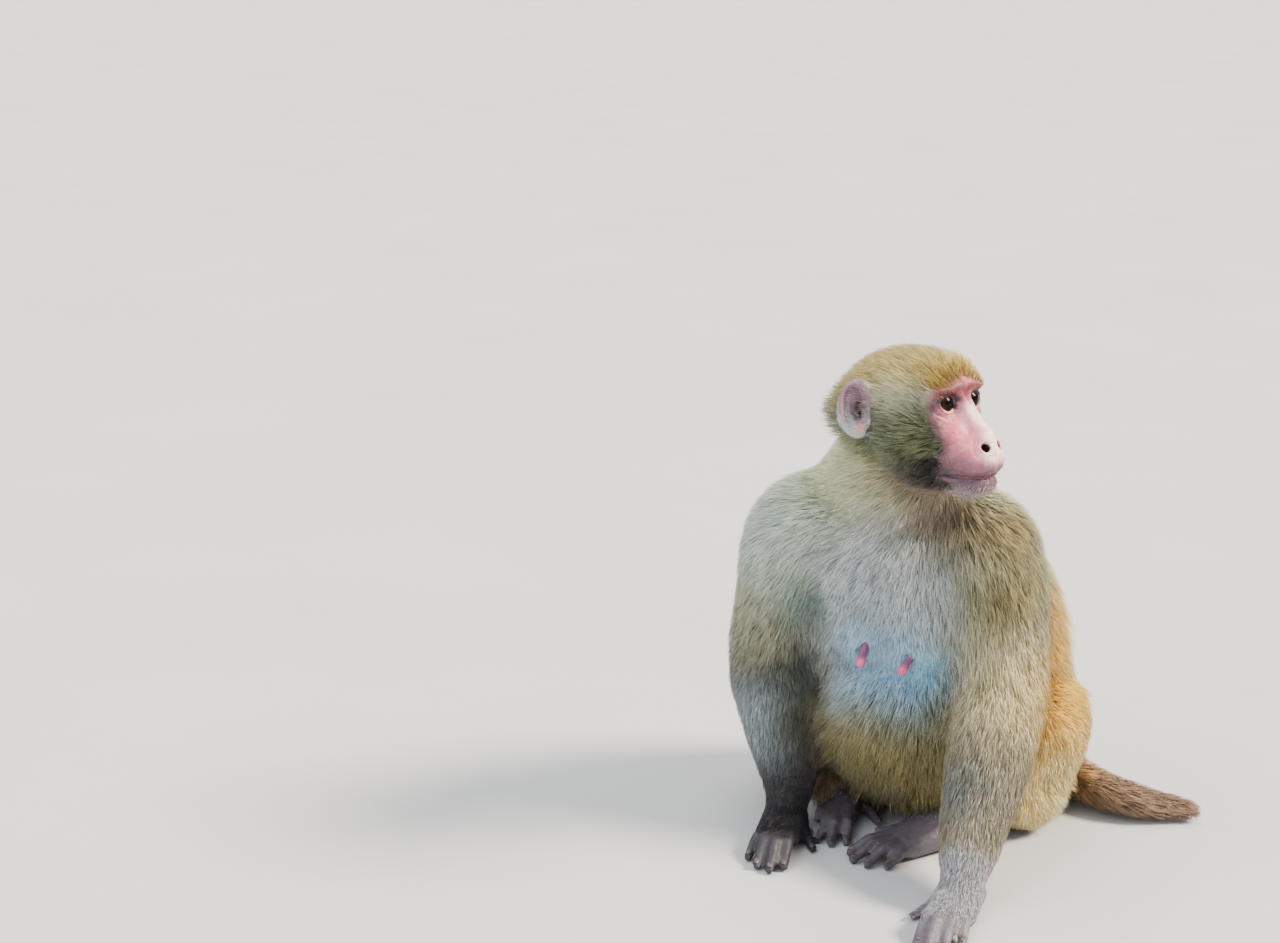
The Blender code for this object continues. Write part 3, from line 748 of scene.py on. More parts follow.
def with_lids(local):
    """The skin drawn over each eyeball, with an almond opening that shows it."""
    for side in (1, -1):
        from_eye, radius, _, _, edge = eye_opening(local, side)
        near = (radius < LIDS_REACH) & (local[:, 1] < EYE_PLACE[1] - 1)
        lid = EYE_RADIUS + LID_THICK * (0.55 + 0.45 * ease(0, 1.0, edge))
        lid += LID_HEM * np.exp(-((edge - 1.2) / 0.9) ** 2)
        hood = EYE_RADIUS + LID_THICK + 0.2
        closed = np.maximum(radius, np.where(edge < 3, lid, hood * (1 - ease(6, 9, edge))))
        covered = np.where(edge > 0, closed, EYE_RADIUS - BEHIND_EYE * ease(0, -0.35, edge))
        covered = np.where((edge > 0) & (edge < 2.2), np.minimum(covered, lid + edge * 0.6), covered)
        local = np.where(near[:, None], local + from_eye * (covered / radius - 1)[:, None], local)
    return local


# Rims and hollows of the ear, in millimetres across and up its hollow face: the middle of an
# arc, its half width and height, the angles it runs between, its radius and its rise.
EAR_LEAN = math.radians(-14)
EAR_FORMS = [
    ((0.8, 1.5), (10.6, 18.0), (-50, 185), 1.6, 1.0),
    ((0.8, 0.5), (8.2, 15.8), (-50, 165), 1.5, -1.1),
    ((0.6, -1.5), (5.4, 11.0), (-70, 95), 1.8, 1.5),
    ((-2.5, -4.5), (1.6, 4.5), (0, 360), 3.6, -3.2),
    ((-4.5, -7.0), (0.4, 1.6), (0, 360), 2.2, -3.4),
    ((-9.5, -8.0), (0.5, 2.5), (0, 360), 2.2, 2.0),
    ((-1.5, -14.5), (2.0, 1.0), (0, 360), 2.2, 1.2),
]


def ear_arc(middle, half, angles):
    """An arc's points across and up the ear's hollow face."""
    turn = np.radians(np.linspace(*angles, 25))
    across, up = middle[0] + half[0] * np.cos(turn), middle[1] + half[1] * np.sin(turn)
    cos, sin = math.cos(EAR_LEAN), math.sin(EAR_LEAN)
    return np.column_stack([across, up]) @ np.array([[cos, -sin], [sin, cos]]).T


def with_ears(local, normals):
    """Both ears' hollow faces, with rim, inner fold, bowl, tragus and lobe."""
    at = to_ear(local)
    outward = -ear_turn()[1]
    sides = np.where(local[:, :1] < 0, -1.0, 1.0) * (1, 0, 0) + (0, 1, 1)
    facing = dot(normals * sides, outward)
    lift = np.zeros(len(local))
    for middle, half, angles, radius, rise in EAR_FORMS:
        lift += stroke(at[:, [0, 2]], ear_arc(middle, half, angles), radius) * rise
    lift *= ear_zone(local) * ease(0.1, 0.5, facing)
    return local + lift[:, None] * outward * sides


def smoothed_bridge(local, web):
    """Evens out the skin between the eyes, up to the lids' inner corners."""
    x, y, z = on_left(local).T
    share = ease(16, 11, x) * ease(-12, -5, z) * ease(24, 17, z) * (y < -44)
    for side in (1, -1):
        _, radius, _, _, edge = eye_opening(local, side)
        share = share * np.where(radius < LIDS_REACH, ease(0.8, 2.4, edge), 1)
    for _ in range(24):
        local = local + (web.around(local) - local) * (0.7 * share)[:, None]
    return local


def faced(points, triangles, web):
    """The skin's points with the face and the ears worked into them."""
    local = to_head(points)
    normals = corner_normals(local, triangles)
    where = np.flatnonzero(face_zone(local) | (np.abs(local).max(1) < 88) & (local[:, 1] < -30))
    face = local[where]
    lift = np.zeros(len(face))
    for path, radius, rise in FACE_FORMS:
        lift += near_line(face, path, radius) * rise
    lift -= ease(0.2, 0.9, near_line(face, NOSTRIL, NOSTRIL_RADIUS)) * NOSTRIL_DEPTH
    face = with_lids(face + normals[where] * lift[:, None])
    local[where] = face
    return from_head(with_ears(smoothed_bridge(local, web), normals))


# ---------------------------------------------------------------- colours of the bare skin

# Colours laid one over another on the face: colour, path, radius, strength.
FACE_BASE = "e08c98"
FACE_PAINT = [
    ("f27a92", [(14, -58, -12), (19, -56, -20)], 9.0, 0.8),
    ("c4566a", [(19, -55, -8), (22, -51, -24)], 5.0, 0.6),
    ("dc7488", [(10, -68, -20), (14, -66, -32)], 4.0, 0.5),
    # this line and the next: pale skin of the nose and the muzzle's front, paled further as a painted
    # highlight
    ("f8e6dc", [(0, -58, 1), (0, -64, -6), (0, -74, -18)], 6.0, 0.95),
    ("fcecdf", [(0, -82, -22), (0, -86, -33), (7, -83, -31)], 7.0, 0.9),
    ("f2ccc4", [(10, -57, -4), (12, -60, -9)], 3.6, 0.6),
    # crimson skin over the eyes, darkened further as painted shade under the brow
    ("5c0c1e", [(0, -54, 14), (3, -55, 19), (9, -56, 20), (16, -56, 20.5), (25, -49, 17)], 6.2, 0.93),
    ("9a6488", [(5, -53, 7), (6, -52, 4)], 3.4, 0.7),
    # near black over each upper lid: painted shade in the crease under the brow
    ("260c16", [(7, -52, 11), (16, -53, 14), (24, -48, 11)], 3.4, 0.95),
    ("b8747a", [(0, -58, 28), (8, -58, 28), (16, -57, 27.5), (26, -48, 23)], 2.6, 0.6),
    ("5c303c", [(26, -46, 9), (29, -42, 5)], 4.8, 0.85),
    ("75525c", [(26, -46, -6), (27, -46, -20), (25, -47, -34)], 4.4, 0.8),
    ("965866", [(20, -60, -34), (23, -52, -38)], 5.0, 0.6),
    ("6e4c5c", [(6, -84, -40), (10, -78, -39), (18, -62, -38), (24, -48, -38)], 6.2, 0.8),
    ("443240", [(3, -86, -45.5), (9, -80, -45), (18, -62, -44), (24, -46, -43)], 3.6, 0.85),
    ("4a3a4a", [(0, -83, -52.5), (8, -78, -52.5), (14, -69, -53), (20, -56, -53)], 8.0, 0.96),
    # dark behind each mouth corner: darker skin and hair, darkened further as painted shade
    ("2a1c24", [(22, -50, -46), (27, -42, -48)], 5.0, 0.95),
]
# HOLLOW_SHADE_TONE: painted shade in the nostrils and inside the eye's opening
MOUTH_TONE, HOLLOW_SHADE_TONE, LID_RIM_TONE, LID_TONE = "24141c", "060404", "ecc8a4", "1e0c12"
BORDER_TONE = "54424a"     # where the bare face meets the cheek's hair
BARE_TONES = {
    # shaded_hand: the right hand's bare skin, darkened as painted shade
    "ear": "8c767e", "lobe": "a8b0b2", "chin": "8c747c", "hand": "68646c", "shaded_hand": "38353b",
    "foot": "4e4a52", "breast": "9fb8c8",
}
ROOT_SHOWS, TIP_SHOWS = 0.64, 0.34     # how much of the hair's two colours the skin under it has
# The ear's colours, with painted shade in its opening: an arc as in EAR_FORMS, its radius, the colour and
# the strength.
EAR_PAINT = [
    ((0.8, 1.5), (10.6, 18.0), (-40, 190), 1.8, "947078", 0.75),
    ((0.8, 8.5), (4.5, 6.0), (0, 360), 4.5, "74566e", 0.85),
    ((1.5, -1.0), (4.0, 4.0), (0, 360), 4.5, "8c8a92", 0.6),
    ((-2.5, -3.0), (1.6, 6.2), (0, 360), 3.8, "481a1a", 0.95),
    # near black in the ear's opening: painted shade
    ((-4.5, -7.0), (0.6, 2.0), (0, 360), 2.6, "120606", 0.95),
    ((-1.5, -14.5), (3.4, 1.5), (0, 360), 3.4, "dca08c", 0.85),
]


def ears_painted(colours, local, share):
    """The colours with both ears' hollow faces painted."""
    at = to_ear(local)[:, [0, 2]]
    hollow = share * ear_zone(local)
    for middle, half, angles, radius, code, strength in EAR_PAINT:
        arc = stroke(at, ear_arc(middle, half, angles), radius)
        colours = laid_over(colours, code, arc * strength * hollow)
    return colours


def lids_painted(paint, at):
    """The colours with the lids' dark edges, their pale lower rims and painted shade inside the opening."""
    for side in (1, -1):
        _, radius, across, rise, edge = eye_opening(at, side)
        ball = (radius < 13) * 1.0
        upper = np.where(rise > 0, 0.95, 0.35)
        upper = upper * ease(-8.5, -5.5, across)
        paint = laid_over(paint, LID_TONE, ball * np.exp(-((edge - 1.0) / 1.9) ** 2) * upper)
        rim = ease(0.5, -1.5, rise) * ease(7.5, 4.0, np.abs(across + 0.8)) * 0.9
        paint = laid_over(paint, LID_RIM_TONE, ball * np.exp(-((edge - 0.4) / 0.42) ** 2) * rim)
        paint = laid_over(paint, HOLLOW_SHADE_TONE, ball * ease(0.15, -0.2, edge) * ease(-7.5, -5, across))
    return paint


def face_colours(local):
    """The bare face's colours, with its border darker below the brow."""
    face = np.tile(tone(FACE_BASE), (len(local), 1))
    near = np.flatnonzero((np.abs(local).max(1) < 95) & (local[:, 1] < -15))
    at, paint = local[near], face[near]
    for code, path, radius, strength in FACE_PAINT:
        paint = laid_over(paint, code, near_line(at, path, radius) * strength)
    paint = lids_painted(paint, at)
    paint = laid_over(paint, MOUTH_TONE, near_line(at, MOUTH, 1.4) * 0.9)
    # painted shade in the nostrils
    paint = laid_over(paint, HOLLOW_SHADE_TONE, ease(0.2, 0.5, near_line(at, NOSTRIL, NOSTRIL_RADIUS)))
    face[near] = paint
    return laid_over(face, BORDER_TONE, ease(-10, 5, face_edge(local)) * ease(24, 8, local[:, 2]) * 0.88)


def skin_colours(points, shares, beyond, hair):
    """The skin's colour: that of the hair under the coat, mostly its roots with their painted shade; the
    face and ears are painted on.
    """
    roots, tips = hair
    under = roots * ROOT_SHOWS + tips * TIP_SHOWS
    for name, code in BARE_TONES.items():
        under = laid_over(under, code, share_of(shares, name))
    local = to_head(points)
    under = ears_painted(under, local, share_of(shares, "ear", "lobe"))
    return mixed(under, face_colours(local), ease(13, 4, beyond)[:, None])


# ---------------------------------------------------------------- materials


def attribute_colour(nodes, name="Pelt"):
    """A node that reads the mesh's own colours."""
    read_colour = nodes.new("ShaderNodeAttribute")
    read_colour.attribute_name = name
    return read_colour


def new_material(name, roughness, **sockets):
    """A material with its nodes, its links and its shader; a socket's name has _ for each space."""
    material = bpy.data.materials.new(name)
    material.use_nodes = True
    shader = material.node_tree.nodes["Principled BSDF"]
    shader.inputs["Roughness"].default_value = roughness
    for socket, value in sockets.items():
        shader.inputs[socket.replace("_", " ")].default_value = value
    return material, material.node_tree.nodes, material.node_tree.links, shader


def noise(nodes, links, scale, detail=3.0, stretch=None):
    """Noise in the object's own coordinates, in bumps to the metre."""
    place = nodes.new("ShaderNodeTexCoord")
    cloud = nodes.new("ShaderNodeTexNoise")
    cloud.inputs["Scale"].default_value = scale
    cloud.inputs["Detail"].default_value = detail
    source = place.outputs["Object"]
    if stretch:
        mapping = nodes.new("ShaderNodeMapping")
        mapping.inputs["Scale"].default_value = stretch
        links.new(source, mapping.inputs["Vector"])
        source = mapping.outputs["Vector"]
    links.new(source, cloud.inputs["Vector"])
    return cloud.outputs["Fac"]


def span(nodes, links, value, low, high):
    """A noise's middle range spread from low to high."""
    stretch = nodes.new("ShaderNodeMapRange")
    stretch.inputs["From Min"].default_value, stretch.inputs["From Max"].default_value = 0.3, 0.7
    stretch.inputs["To Min"].default_value, stretch.inputs["To Max"].default_value = low, high
    links.new(value, stretch.inputs["Value"])
    return stretch.outputs["Result"]


def tinted(nodes, links, colour, by, blend="MULTIPLY"):
    """The colour multiplied by a grey value."""
    mix = nodes.new("ShaderNodeMix")
    mix.data_type, mix.blend_type = "RGBA", blend
    mix.inputs["Factor"].default_value = 1.0
    links.new(colour, mix.inputs[6])
    links.new(by, mix.inputs[7])
    return mix.outputs[2]


def two_tone(nodes, links, value, stops):
    """A value turned into a colour between two stops: the place of each, and its red, green and blue."""
    ramp = nodes.new("ShaderNodeValToRGB")
    for element, (place, colour) in zip(ramp.color_ramp.elements, stops):
        element.position = place
        element.color = (*colour, 1)
    links.new(value, ramp.inputs["Fac"])
    return ramp.outputs["Color"]


def roughened(nodes, links, onto, height, strength, distance):
    """A bump under a shader, or under another bump; the distance is in metres."""
    bump = nodes.new("ShaderNodeBump")
    bump.inputs["Strength"].default_value = strength
    bump.inputs["Distance"].default_value = distance
    links.new(height, bump.inputs["Height"])
    links.new(bump.outputs["Normal"], onto.inputs["Normal"])
    return bump


def crease_cells(nodes, links, scale):
    """How far each point lies from the nearest crease of a net of fine cells."""
    creases = nodes.new("ShaderNodeTexVoronoi")
    creases.feature = "DISTANCE_TO_EDGE"
    creases.inputs["Scale"].default_value = scale
    place = nodes.new("ShaderNodeTexCoord")
    links.new(place.outputs["Object"], creases.inputs["Vector"])
    return creases.outputs["Distance"]


def skin_material():
    """Bare skin in its painted colours, with blotches, pores, a net of creases and soft folds."""
    material, nodes, links, shader = new_material(
        "bare_skin", 0.5, Subsurface_Weight=0.12, Subsurface_Scale=0.004, Specular_IOR_Level=0.4)
    shader.inputs["Subsurface Radius"].default_value = (1.0, 0.35, 0.25)
    blotches = noise(nodes, links, 170, 4)
    blush = two_tone(nodes, links, blotches, [(0.38, (0.92, 0.74, 0.78)), (0.62, (1.08, 1.08, 1.06))])
    pores = span(nodes, links, noise(nodes, links, 900, 2), 0.91, 1.07)
    colour = tinted(nodes, links, attribute_colour(nodes).outputs["Color"], blush)
    links.new(tinted(nodes, links, colour, pores), shader.inputs["Base Color"])
    creases = roughened(nodes, links, shader, crease_cells(nodes, links, 520), 0.45, 0.0005)
    roughened(nodes, links, creases, noise(nodes, links, 420, 5), 0.45, 0.0014)
    links.new(span(nodes, links, noise(nodes, links, 300), 0.42, 0.62), shader.inputs["Roughness"])
    return material


def coat_material():
    """Hair in its painted colours, varied from patch to patch and from strand to strand."""
    material, nodes, links, shader = new_material(
        "coat_hair", 0.62, Specular_IOR_Level=0.25, Sheen_Weight=0.12, Sheen_Roughness=0.5)
    patches = span(nodes, links, noise(nodes, links, 45, 3), 0.86, 1.14)
    strands = span(nodes, links, noise(nodes, links, 900, 2), 0.86, 1.14)
    colour = tinted(nodes, links, attribute_colour(nodes).outputs["Color"], patches)
    links.new(tinted(nodes, links, colour, strands), shader.inputs["Base Color"])
    return material


def eye_material():
    """Pupil, brown iris with fine rays and a darker rim, and the brownish white round it; the iris is
    darkened towards black, partly as painted shade from the brow.
    """
    material, nodes, links, shader = new_material(
        "eye_gloss", 0.25, Coat_Weight=0.14, Coat_Roughness=0.03, Specular_IOR_Level=0.05)
    from_axis = attribute_colour(nodes, "from_pupil")
    ramp = nodes.new("ShaderNodeValToRGB")
    # the iris is kept near black: partly its dark brown, partly painted shade under the brow
    stops = [
        (0.0, "020101"), (PUPIL, "030202"), (PUPIL + 0.03, "100703"), (0.50, "160903"), (0.65, "321506"),
        (IRIS - 0.04, "180903"), (IRIS, "050202"), (IRIS + 0.06, "140a08"), (0.88, "2c1c18")]
    while len(ramp.color_ramp.elements) < len(stops):
        ramp.color_ramp.elements.new(0.5)
    for element, (place, code) in zip(ramp.color_ramp.elements, stops):
        element.position = place
        element.color = (*tone(code), 1)
    links.new(from_axis.outputs["Fac"], ramp.inputs["Fac"])
    rays = span(nodes, links, noise(nodes, links, 1500, 4), 0.7, 1.3)
    links.new(tinted(nodes, links, ramp.outputs["Color"], rays), shader.inputs["Base Color"])
    return material


def nail_material():
    """Dark horn, streaked and finely ridged."""
    material, nodes, links, shader = new_material("nail_horn", 0.35, Coat_Weight=0.2)
    streaks = noise(nodes, links, 600, 4, (1, 1, 0.2))
    colour = two_tone(nodes, links, streaks, [(0, tone("2e2527")), (1, tone("6b5a58"))])
    links.new(colour, shader.inputs["Base Color"])
    roughened(nodes, links, shader, noise(nodes, links, 1400, 3), 0.3, 0.0002)
    return material


def pad_material():
    """The seat pads' thick bare hide, in two pinks."""
    material, nodes, links, shader = new_material("seat_pad_hide", 0.6)
    patches = noise(nodes, links, 240, 5)
    colour = two_tone(nodes, links, patches, [(0, tone("8d6f6b")), (1, tone("b99690"))])
    links.new(colour, shader.inputs["Base Color"])
    roughened(nodes, links, shader, noise(nodes, links, 700, 5), 0.5, 0.0006)
    return material


# ---------------------------------------------------------------- the coat

COAT_PIECES = {   # piece: its nodes, which part of them, and its slot
    "coat_head": (("head", "ear_left", "ear_right"), "all", "olive_coat"),
    "coat_neck": (("neck",), "all", "olive_coat"),
    "coat_chest": (("chest",), "front", "grey_coat"),
    "coat_belly": (("belly",), "front", "golden_coat"),
    "coat_back": (("chest",), "back", "golden_coat"),
    "coat_rump": (("belly",), "back", "golden_coat"),
    "coat_tail": (("tail",), "all", "golden_coat"),
}
for side in SIDES:
    COAT_PIECES[f"coat_arm_{side}"] = (tuple(f"{n}_{side}" for n in LIMB_NODES[:3]), "all", "olive_coat")
    COAT_PIECES[f"coat_leg_{side}"] = (tuple(f"{n}_{side}" for n in LIMB_NODES[3:]), "all", "golden_coat")

MOST_FACES = 188000       # a piece stays under 200,000 triangles
BENT_SHARE = 0.3          # the share of tufts that bend at their middle
STRAIGHT_FACES, BENT_FACES = 4, 10
TUFTS_TO_A_LOCK = 12
LOCK_TURN, TUFT_TURN = 0.14, 0.16     # how far locks and tufts turn out of the coat's lie, in radians
DEEP_IN_LENGTH = 0.85     # the most of its length that a tuft rises over the skin
ROOT_SUNK = 0.5           # how far roots stand in the skin, in millimetres
STREAKS = (0.68, 1.0, 1.38)           # darker, plain and paler tips
STREAK_SHARES = (0.2, 0.58, 0.22)
PATCH = 0.003             # the size of a tuft's own place on the coat's unwrap
PROXY_FACES = 2600        # faces of the thinned skin that is unwrapped
RING = np.array([(0.5, 0.0), (0.0, 0.45), (-0.5, 0.0)])      # a tuft's section: across, up


def tuft_faces(rings):
    """The triangles of a spike: its root's cap, its sides from ring to ring, and its tip."""
    faces = [(2, 1, 0)]
    for low in range(0, 3 * rings - 3, 3):
        for k in range(3):
            after = (k + 1) % 3
            faces += [(low + k, low + after, low + after + 3), (low + k, low + after + 3, low + k + 3)]
    top = 3 * rings - 3
    return np.array(faces + [(top + k, top + (k + 1) % 3, top + 3) for k in range(3)])


def thinned_skin(points, triangles):
    """A copy of the skin under one coat piece, with few faces."""
    used, corners = np.unique(triangles, return_inverse=True)
    mesh = bpy.data.meshes.new("unwrap")
    mesh.from_pydata(points[used].tolist(), [], corners.reshape(-1, 3).tolist())
    obj = new_object("unwrap", mesh)
    thin = obj.modifiers.new("thin", "DECIMATE")
    thin.ratio = min(1.0, PROXY_FACES / len(triangles))
    return new_object("unwrap", evaluated_mesh(obj))


def unwrap_of(points, triangles):
    """The skin under one coat piece laid flat: its surface, its corners, and their places on the unwrap."""
    obj = thinned_skin(points, triangles)
    bpy.ops.object.select_all(action="DESELECT")
    obj.select_set(True)
    bpy.context.view_layer.objects.active = obj
    bpy.ops.object.mode_set(mode="EDIT")
    bpy.ops.mesh.select_all(action="SELECT")
    bpy.ops.uv.smart_project(angle_limit=math.radians(70), island_margin=0.004)
    bpy.ops.object.mode_set(mode="OBJECT")
    mesh = obj.data
    corners = triangles_of(mesh)
    loops = read(mesh.loop_triangles, "loops", 3, np.int32)
    flat = read(mesh.uv_layers[0].uv, "vector", 2)[loops]
    at = points_of(mesh)
    bpy.data.objects.remove(obj)
    return surface_of(at, corners), at[corners], flat


def places_on_unwrap(unwrap, roots):
    """Where each root comes to lie on the unwrap."""
    tree, corners, flat = unwrap
    found = [tree.find_nearest(p) for p in roots]
    face = np.array([hit[2] for hit in found])
    at = np.array([hit[0] for hit in found])
    a, b, c = (corners[face, i] for i in range(3))
    whole = np.cross(b - a, c - a)
    size = np.maximum(dot(whole, whole), 1e-20)
    u = dot(np.cross(c - b, at - b), whole) / size
    v = dot(np.cross(a - c, at - c), whole) / size
    share = np.clip(np.column_stack([u, v, 1 - u - v]), 0, 1)
    return (flat[face] * share[:, :, None]).sum(1)


def set_pelt(mesh, colours):
    """Stores each vertex's colour."""
    rgba = np.ones((len(mesh.vertices), 4), np.float32)
    rgba[:, :3] = colours
    mesh.attributes.new("Pelt", "FLOAT_COLOR", "POINT").data.foreach_set("color", rgba.ravel())


def mesh_of_triangles(name, points, faces):
    """A smooth mesh straight from arrays."""
    mesh = bpy.data.meshes.new(name)
    mesh.vertices.add(len(points))
    mesh.vertices.foreach_set("co", points.astype(np.float32).ravel())
    mesh.loops.add(faces.size)
    mesh.loops.foreach_set("vertex_index", faces.astype(np.int32).ravel())
    mesh.polygons.add(len(faces))
    mesh.polygons.foreach_set("loop_start", np.arange(0, faces.size, 3, dtype=np.int32))
    mesh.update(calc_edges=True)
    mesh.polygons.foreach_set("use_smooth", np.ones(len(faces), bool))
    return mesh


def mesh_of_tufts(name, groups):
    """One mesh of many closed spikes. A group's tufts have the same number of rings of points."""
    points, faces, colours, places, start = [], [], [], [], 0
    for rings, tips, tones, patches in groups:
        count, levels = rings.shape[:2]
        pattern = tuft_faces(levels)
        points.append(np.concatenate([rings.reshape(count, -1, 3), tips[:, None]], axis=1).reshape(-1, 3))
        size = 3 * levels + 1
        faces.append((pattern + size * np.arange(count)[:, None, None] + start).reshape(-1, 3))
        start += size * count
        at = np.append(np.repeat(np.arange(levels) / levels, 3), 1.0)
        # each tuft's colour runs from its darker root, painted shade, to its tip
        colours.append((tones[:, :1] * (1 - at)[:, None] + tones[:, 1:] * at[:, None]).reshape(-1, 3))
        across = np.append(np.tile((1.0, 0.5, 0.0), levels), 0.5)
        own = np.column_stack([across, at]) - 0.5
        places.append((patches[:, None] + own[pattern.ravel()] * PATCH).reshape(-1, 2))
    points, faces, colours, places = (np.concatenate(rows) for rows in (points, faces, colours, places))
    mesh = mesh_of_triangles(name, points, faces)
    set_pelt(mesh, colours)
    mesh.uv_layers.new(name="OFBake").uv.foreach_set("vector", places.astype(np.float32).ravel())
    return mesh


class Roots:
    """Where the tufts of one coat piece stand: at random on its triangles, more where it is dense."""

    def __init__(self, body, triangles):
        wanted = areas_of(body["points"], triangles) * 1e4 * body["dense"][triangles].mean(1)
        most = int(MOST_FACES / mixed(STRAIGHT_FACES, BENT_FACES, BENT_SHARE))
        self.count = int(min(wanted.sum(), most)) // 1
        pick = DICE.choice(len(triangles), self.count, p=wanted / wanted.sum())
        self.share = DICE.dirichlet((1, 1, 1), self.count)
        self.corners = triangles[pick]
        self.body = body
        self.places = self.read("points")
        self.normals = unit(self.read("normals"))
        self.leaders = DICE.choice(self.count, max(self.count // TUFTS_TO_A_LOCK, 1), replace=False)
        tree = tree_of(self.places[self.leaders])
        self.lock = np.array([tree.find(p)[1] for p in self.places])

    def read(self, what):
        """One of the body's values at each root."""
        values = self.body[what][self.corners]
        return (values * self.share.reshape(self.share.shape + (1,) * (values.ndim - 2))).sum(1)

    def varied(self, draw, for_locks, for_tufts):
        """A random value for each root's lock, and another for the root itself."""
        return draw(*for_locks, len(self.leaders))[self.lock], draw(*for_tufts, self.count)

    def gathered(self, ends, hold):
        """The ends drawn towards the end of their lock's leader."""
        return ends + (ends[self.leaders[self.lock]] - ends) * hold


def combed(roots):
    """The way each tuft lies: with the coat, turned a little lock by lock and tuft by tuft."""
    turn = sum(roots.varied(DICE.normal, (0, LOCK_TURN), (0, TUFT_TURN)))
    flow = along(roots.read("flow"), roots.normals)
    return flow * np.cos(turn)[:, None] + np.cross(roots.normals, flow) * np.sin(turn)[:, None]


def middles_and_tips(roots):
    """Each tuft's middle and its tip, a little below the outline of the coat and drawn into a lock."""
    flow = combed(roots)
    by_lock, by_tuft = roots.varied(DICE.uniform, (0.82, 1.12), (0.78, 1.12))
    length = roots.read("length") * by_lock * by_tuft
    depth = np.minimum(roots.read("depth"), length * DEEP_IN_LENGTH)
    run = np.sqrt(length ** 2 - depth ** 2)
    tip = roots.places + (flow * run[:, None] + roots.normals * depth[:, None]) * MM
    below = depth * (0.85 * DICE.random(roots.count) ** 1.8 - 0.06) * MM
    tip = drawn_to_hull(tip, below, roots.body["hull"])
    middle = roots.places + (tip - roots.places) * 0.5 + roots.normals * (0.10 * length * MM)[:, None]
    hold = (roots.read("locks") * DICE.uniform(0.4, 1.2, roots.count))[:, None]
    tip = roots.gathered(tip, hold)
    middle = roots.gathered(middle, hold * 0.45)
    for place in (middle, tip):
        place[:, 2] = np.maximum(place[:, 2], FLOOR_GAP * MM * 2)
        np.clip(place, *CAD_BOX, out=place)
    return middle, tip


def tuft_tones(roots):
    """Each tuft's colours at its root and its tip, varied by lock and by tuft; its darker root is painted
    shade.
    """
    by_lock, by_tuft = roots.varied(DICE.normal, (1, 0.05), (1, 0.09))
    shade = by_lock * by_tuft
    streak = DICE.choice(STREAKS, roots.count, p=STREAK_SHARES)
    base = roots.read("root_tone") * shade[:, None]
    end = roots.read("tip_tone") * (shade * streak)[:, None]
    return np.clip(np.stack([base, end], axis=1), 0.002, 0.92)


def grow(name, body, owned, material):
    """One coat piece over the skin's triangles that it owns."""
    triangles = body["triangles"][owned]
    roots = Roots(body, triangles)
    middle, tip = middles_and_tips(roots)
    base = roots.places - roots.normals * (ROOT_SUNK * MM)
    thick = roots.read("thick")
    tones = tuft_tones(roots)
    patches = places_on_unwrap(unwrap_of(body["points"], triangles), base)
    bent = DICE.random(roots.count) < BENT_SHARE
    bent_levels = ((base, middle, 1.0), (middle, tip, 0.8))
    groups = []
    for some, levels in ((bent, bent_levels), (~bent, ((base, tip, 1.0),))):
        rings = [ring_round(at[some], (on - at)[some], roots.normals[some], thick[some] * wide)
                 for at, on, wide in levels]
        rings = np.clip(np.stack(rings, axis=1), *CAD_BOX)
        groups.append((rings, tip[some], tones[some], patches[some]))
    return new_object(name, mesh_of_tufts(name, groups), material)


def ring_round(at, way, normal, thick):
    """Three points round each place, square to the way the tuft runs there."""
    across = unit(np.cross(unit(way), normal))
    rise = np.cross(unit(way), across)
    width = (thick * MM)[:, None]
    return np.stack([at + width * (across * s + rise * u) for s, u in RING], axis=1)


def drawn_to_hull(tips, below, hull):
    """Moves tips to a little below the outline of the coat."""
    found = [hull.find_nearest(p) for p in tips]
    at, out = np.array([hit[0] for hit in found]), np.array([hit[1] for hit in found])
    height = dot(tips - at, out)
    wanted = -below
    move = np.where(height > wanted, wanted - height, (wanted - height) * 0.5)
    return tips + out * np.clip(move, -9 * MM, 5 * MM)[:, None]


# ---------------------------------------------------------------- small pieces

CORNEA_RISE = 0.35      # how far the cornea stands proud of the eyeball, in millimetres
UPRIGHT = Vector((0, 0, 1))


def eyeball(side, material):
    """A full eyeball that looks where the head faces, with its cornea standing proud."""
    name = f"eye_{side}"
    centre = box_centre(name)
    bm = bmesh.new()
    bmesh.ops.create_uvsphere(bm, u_segments=56, v_segments=44, radius=EYE_RADIUS * MM)
    out = HEAD_AXES[0] * (1 if side == "left" else -1)
    gaze = Vector(unit(-HEAD_AXES[1] + 0.06 * out + 0.02 * HEAD_AXES[2]))
    for v in bm.verts:
        angle = v.co.angle(UPRIGHT)
        v.co *= 1 + CORNEA_RISE / EYE_RADIUS * (1 - float(ease(0.15, 0.62, angle)))
    bmesh.ops.rotate(bm, verts=bm.verts, matrix=UPRIGHT.rotation_difference(gaze).to_matrix())
    angles = [v.co.angle(gaze) for v in bm.verts]
    bmesh.ops.translate(bm, verts=bm.verts, vec=Vector(centre))
    mesh = smooth_mesh_from(bm, f"{side}_eye")
    mesh.attributes.new("from_pupil", "FLOAT", "POINT").data.foreach_set("value", angles)
    keep(new_object(f"{side}_eye", mesh, material), [name])


# Where each wrist and ankle stands over the floor, and the way its hand or foot points, in degrees.
PAWS = {
    "hand_left": (45.21, -104.1, -93.43),
    "hand_right": (-129.79, -12.1, -86.57),
    "foot_left": (24.21, 23.9, -131.35),
    "foot_right": (-101.79, 79.9, -83.09),
}
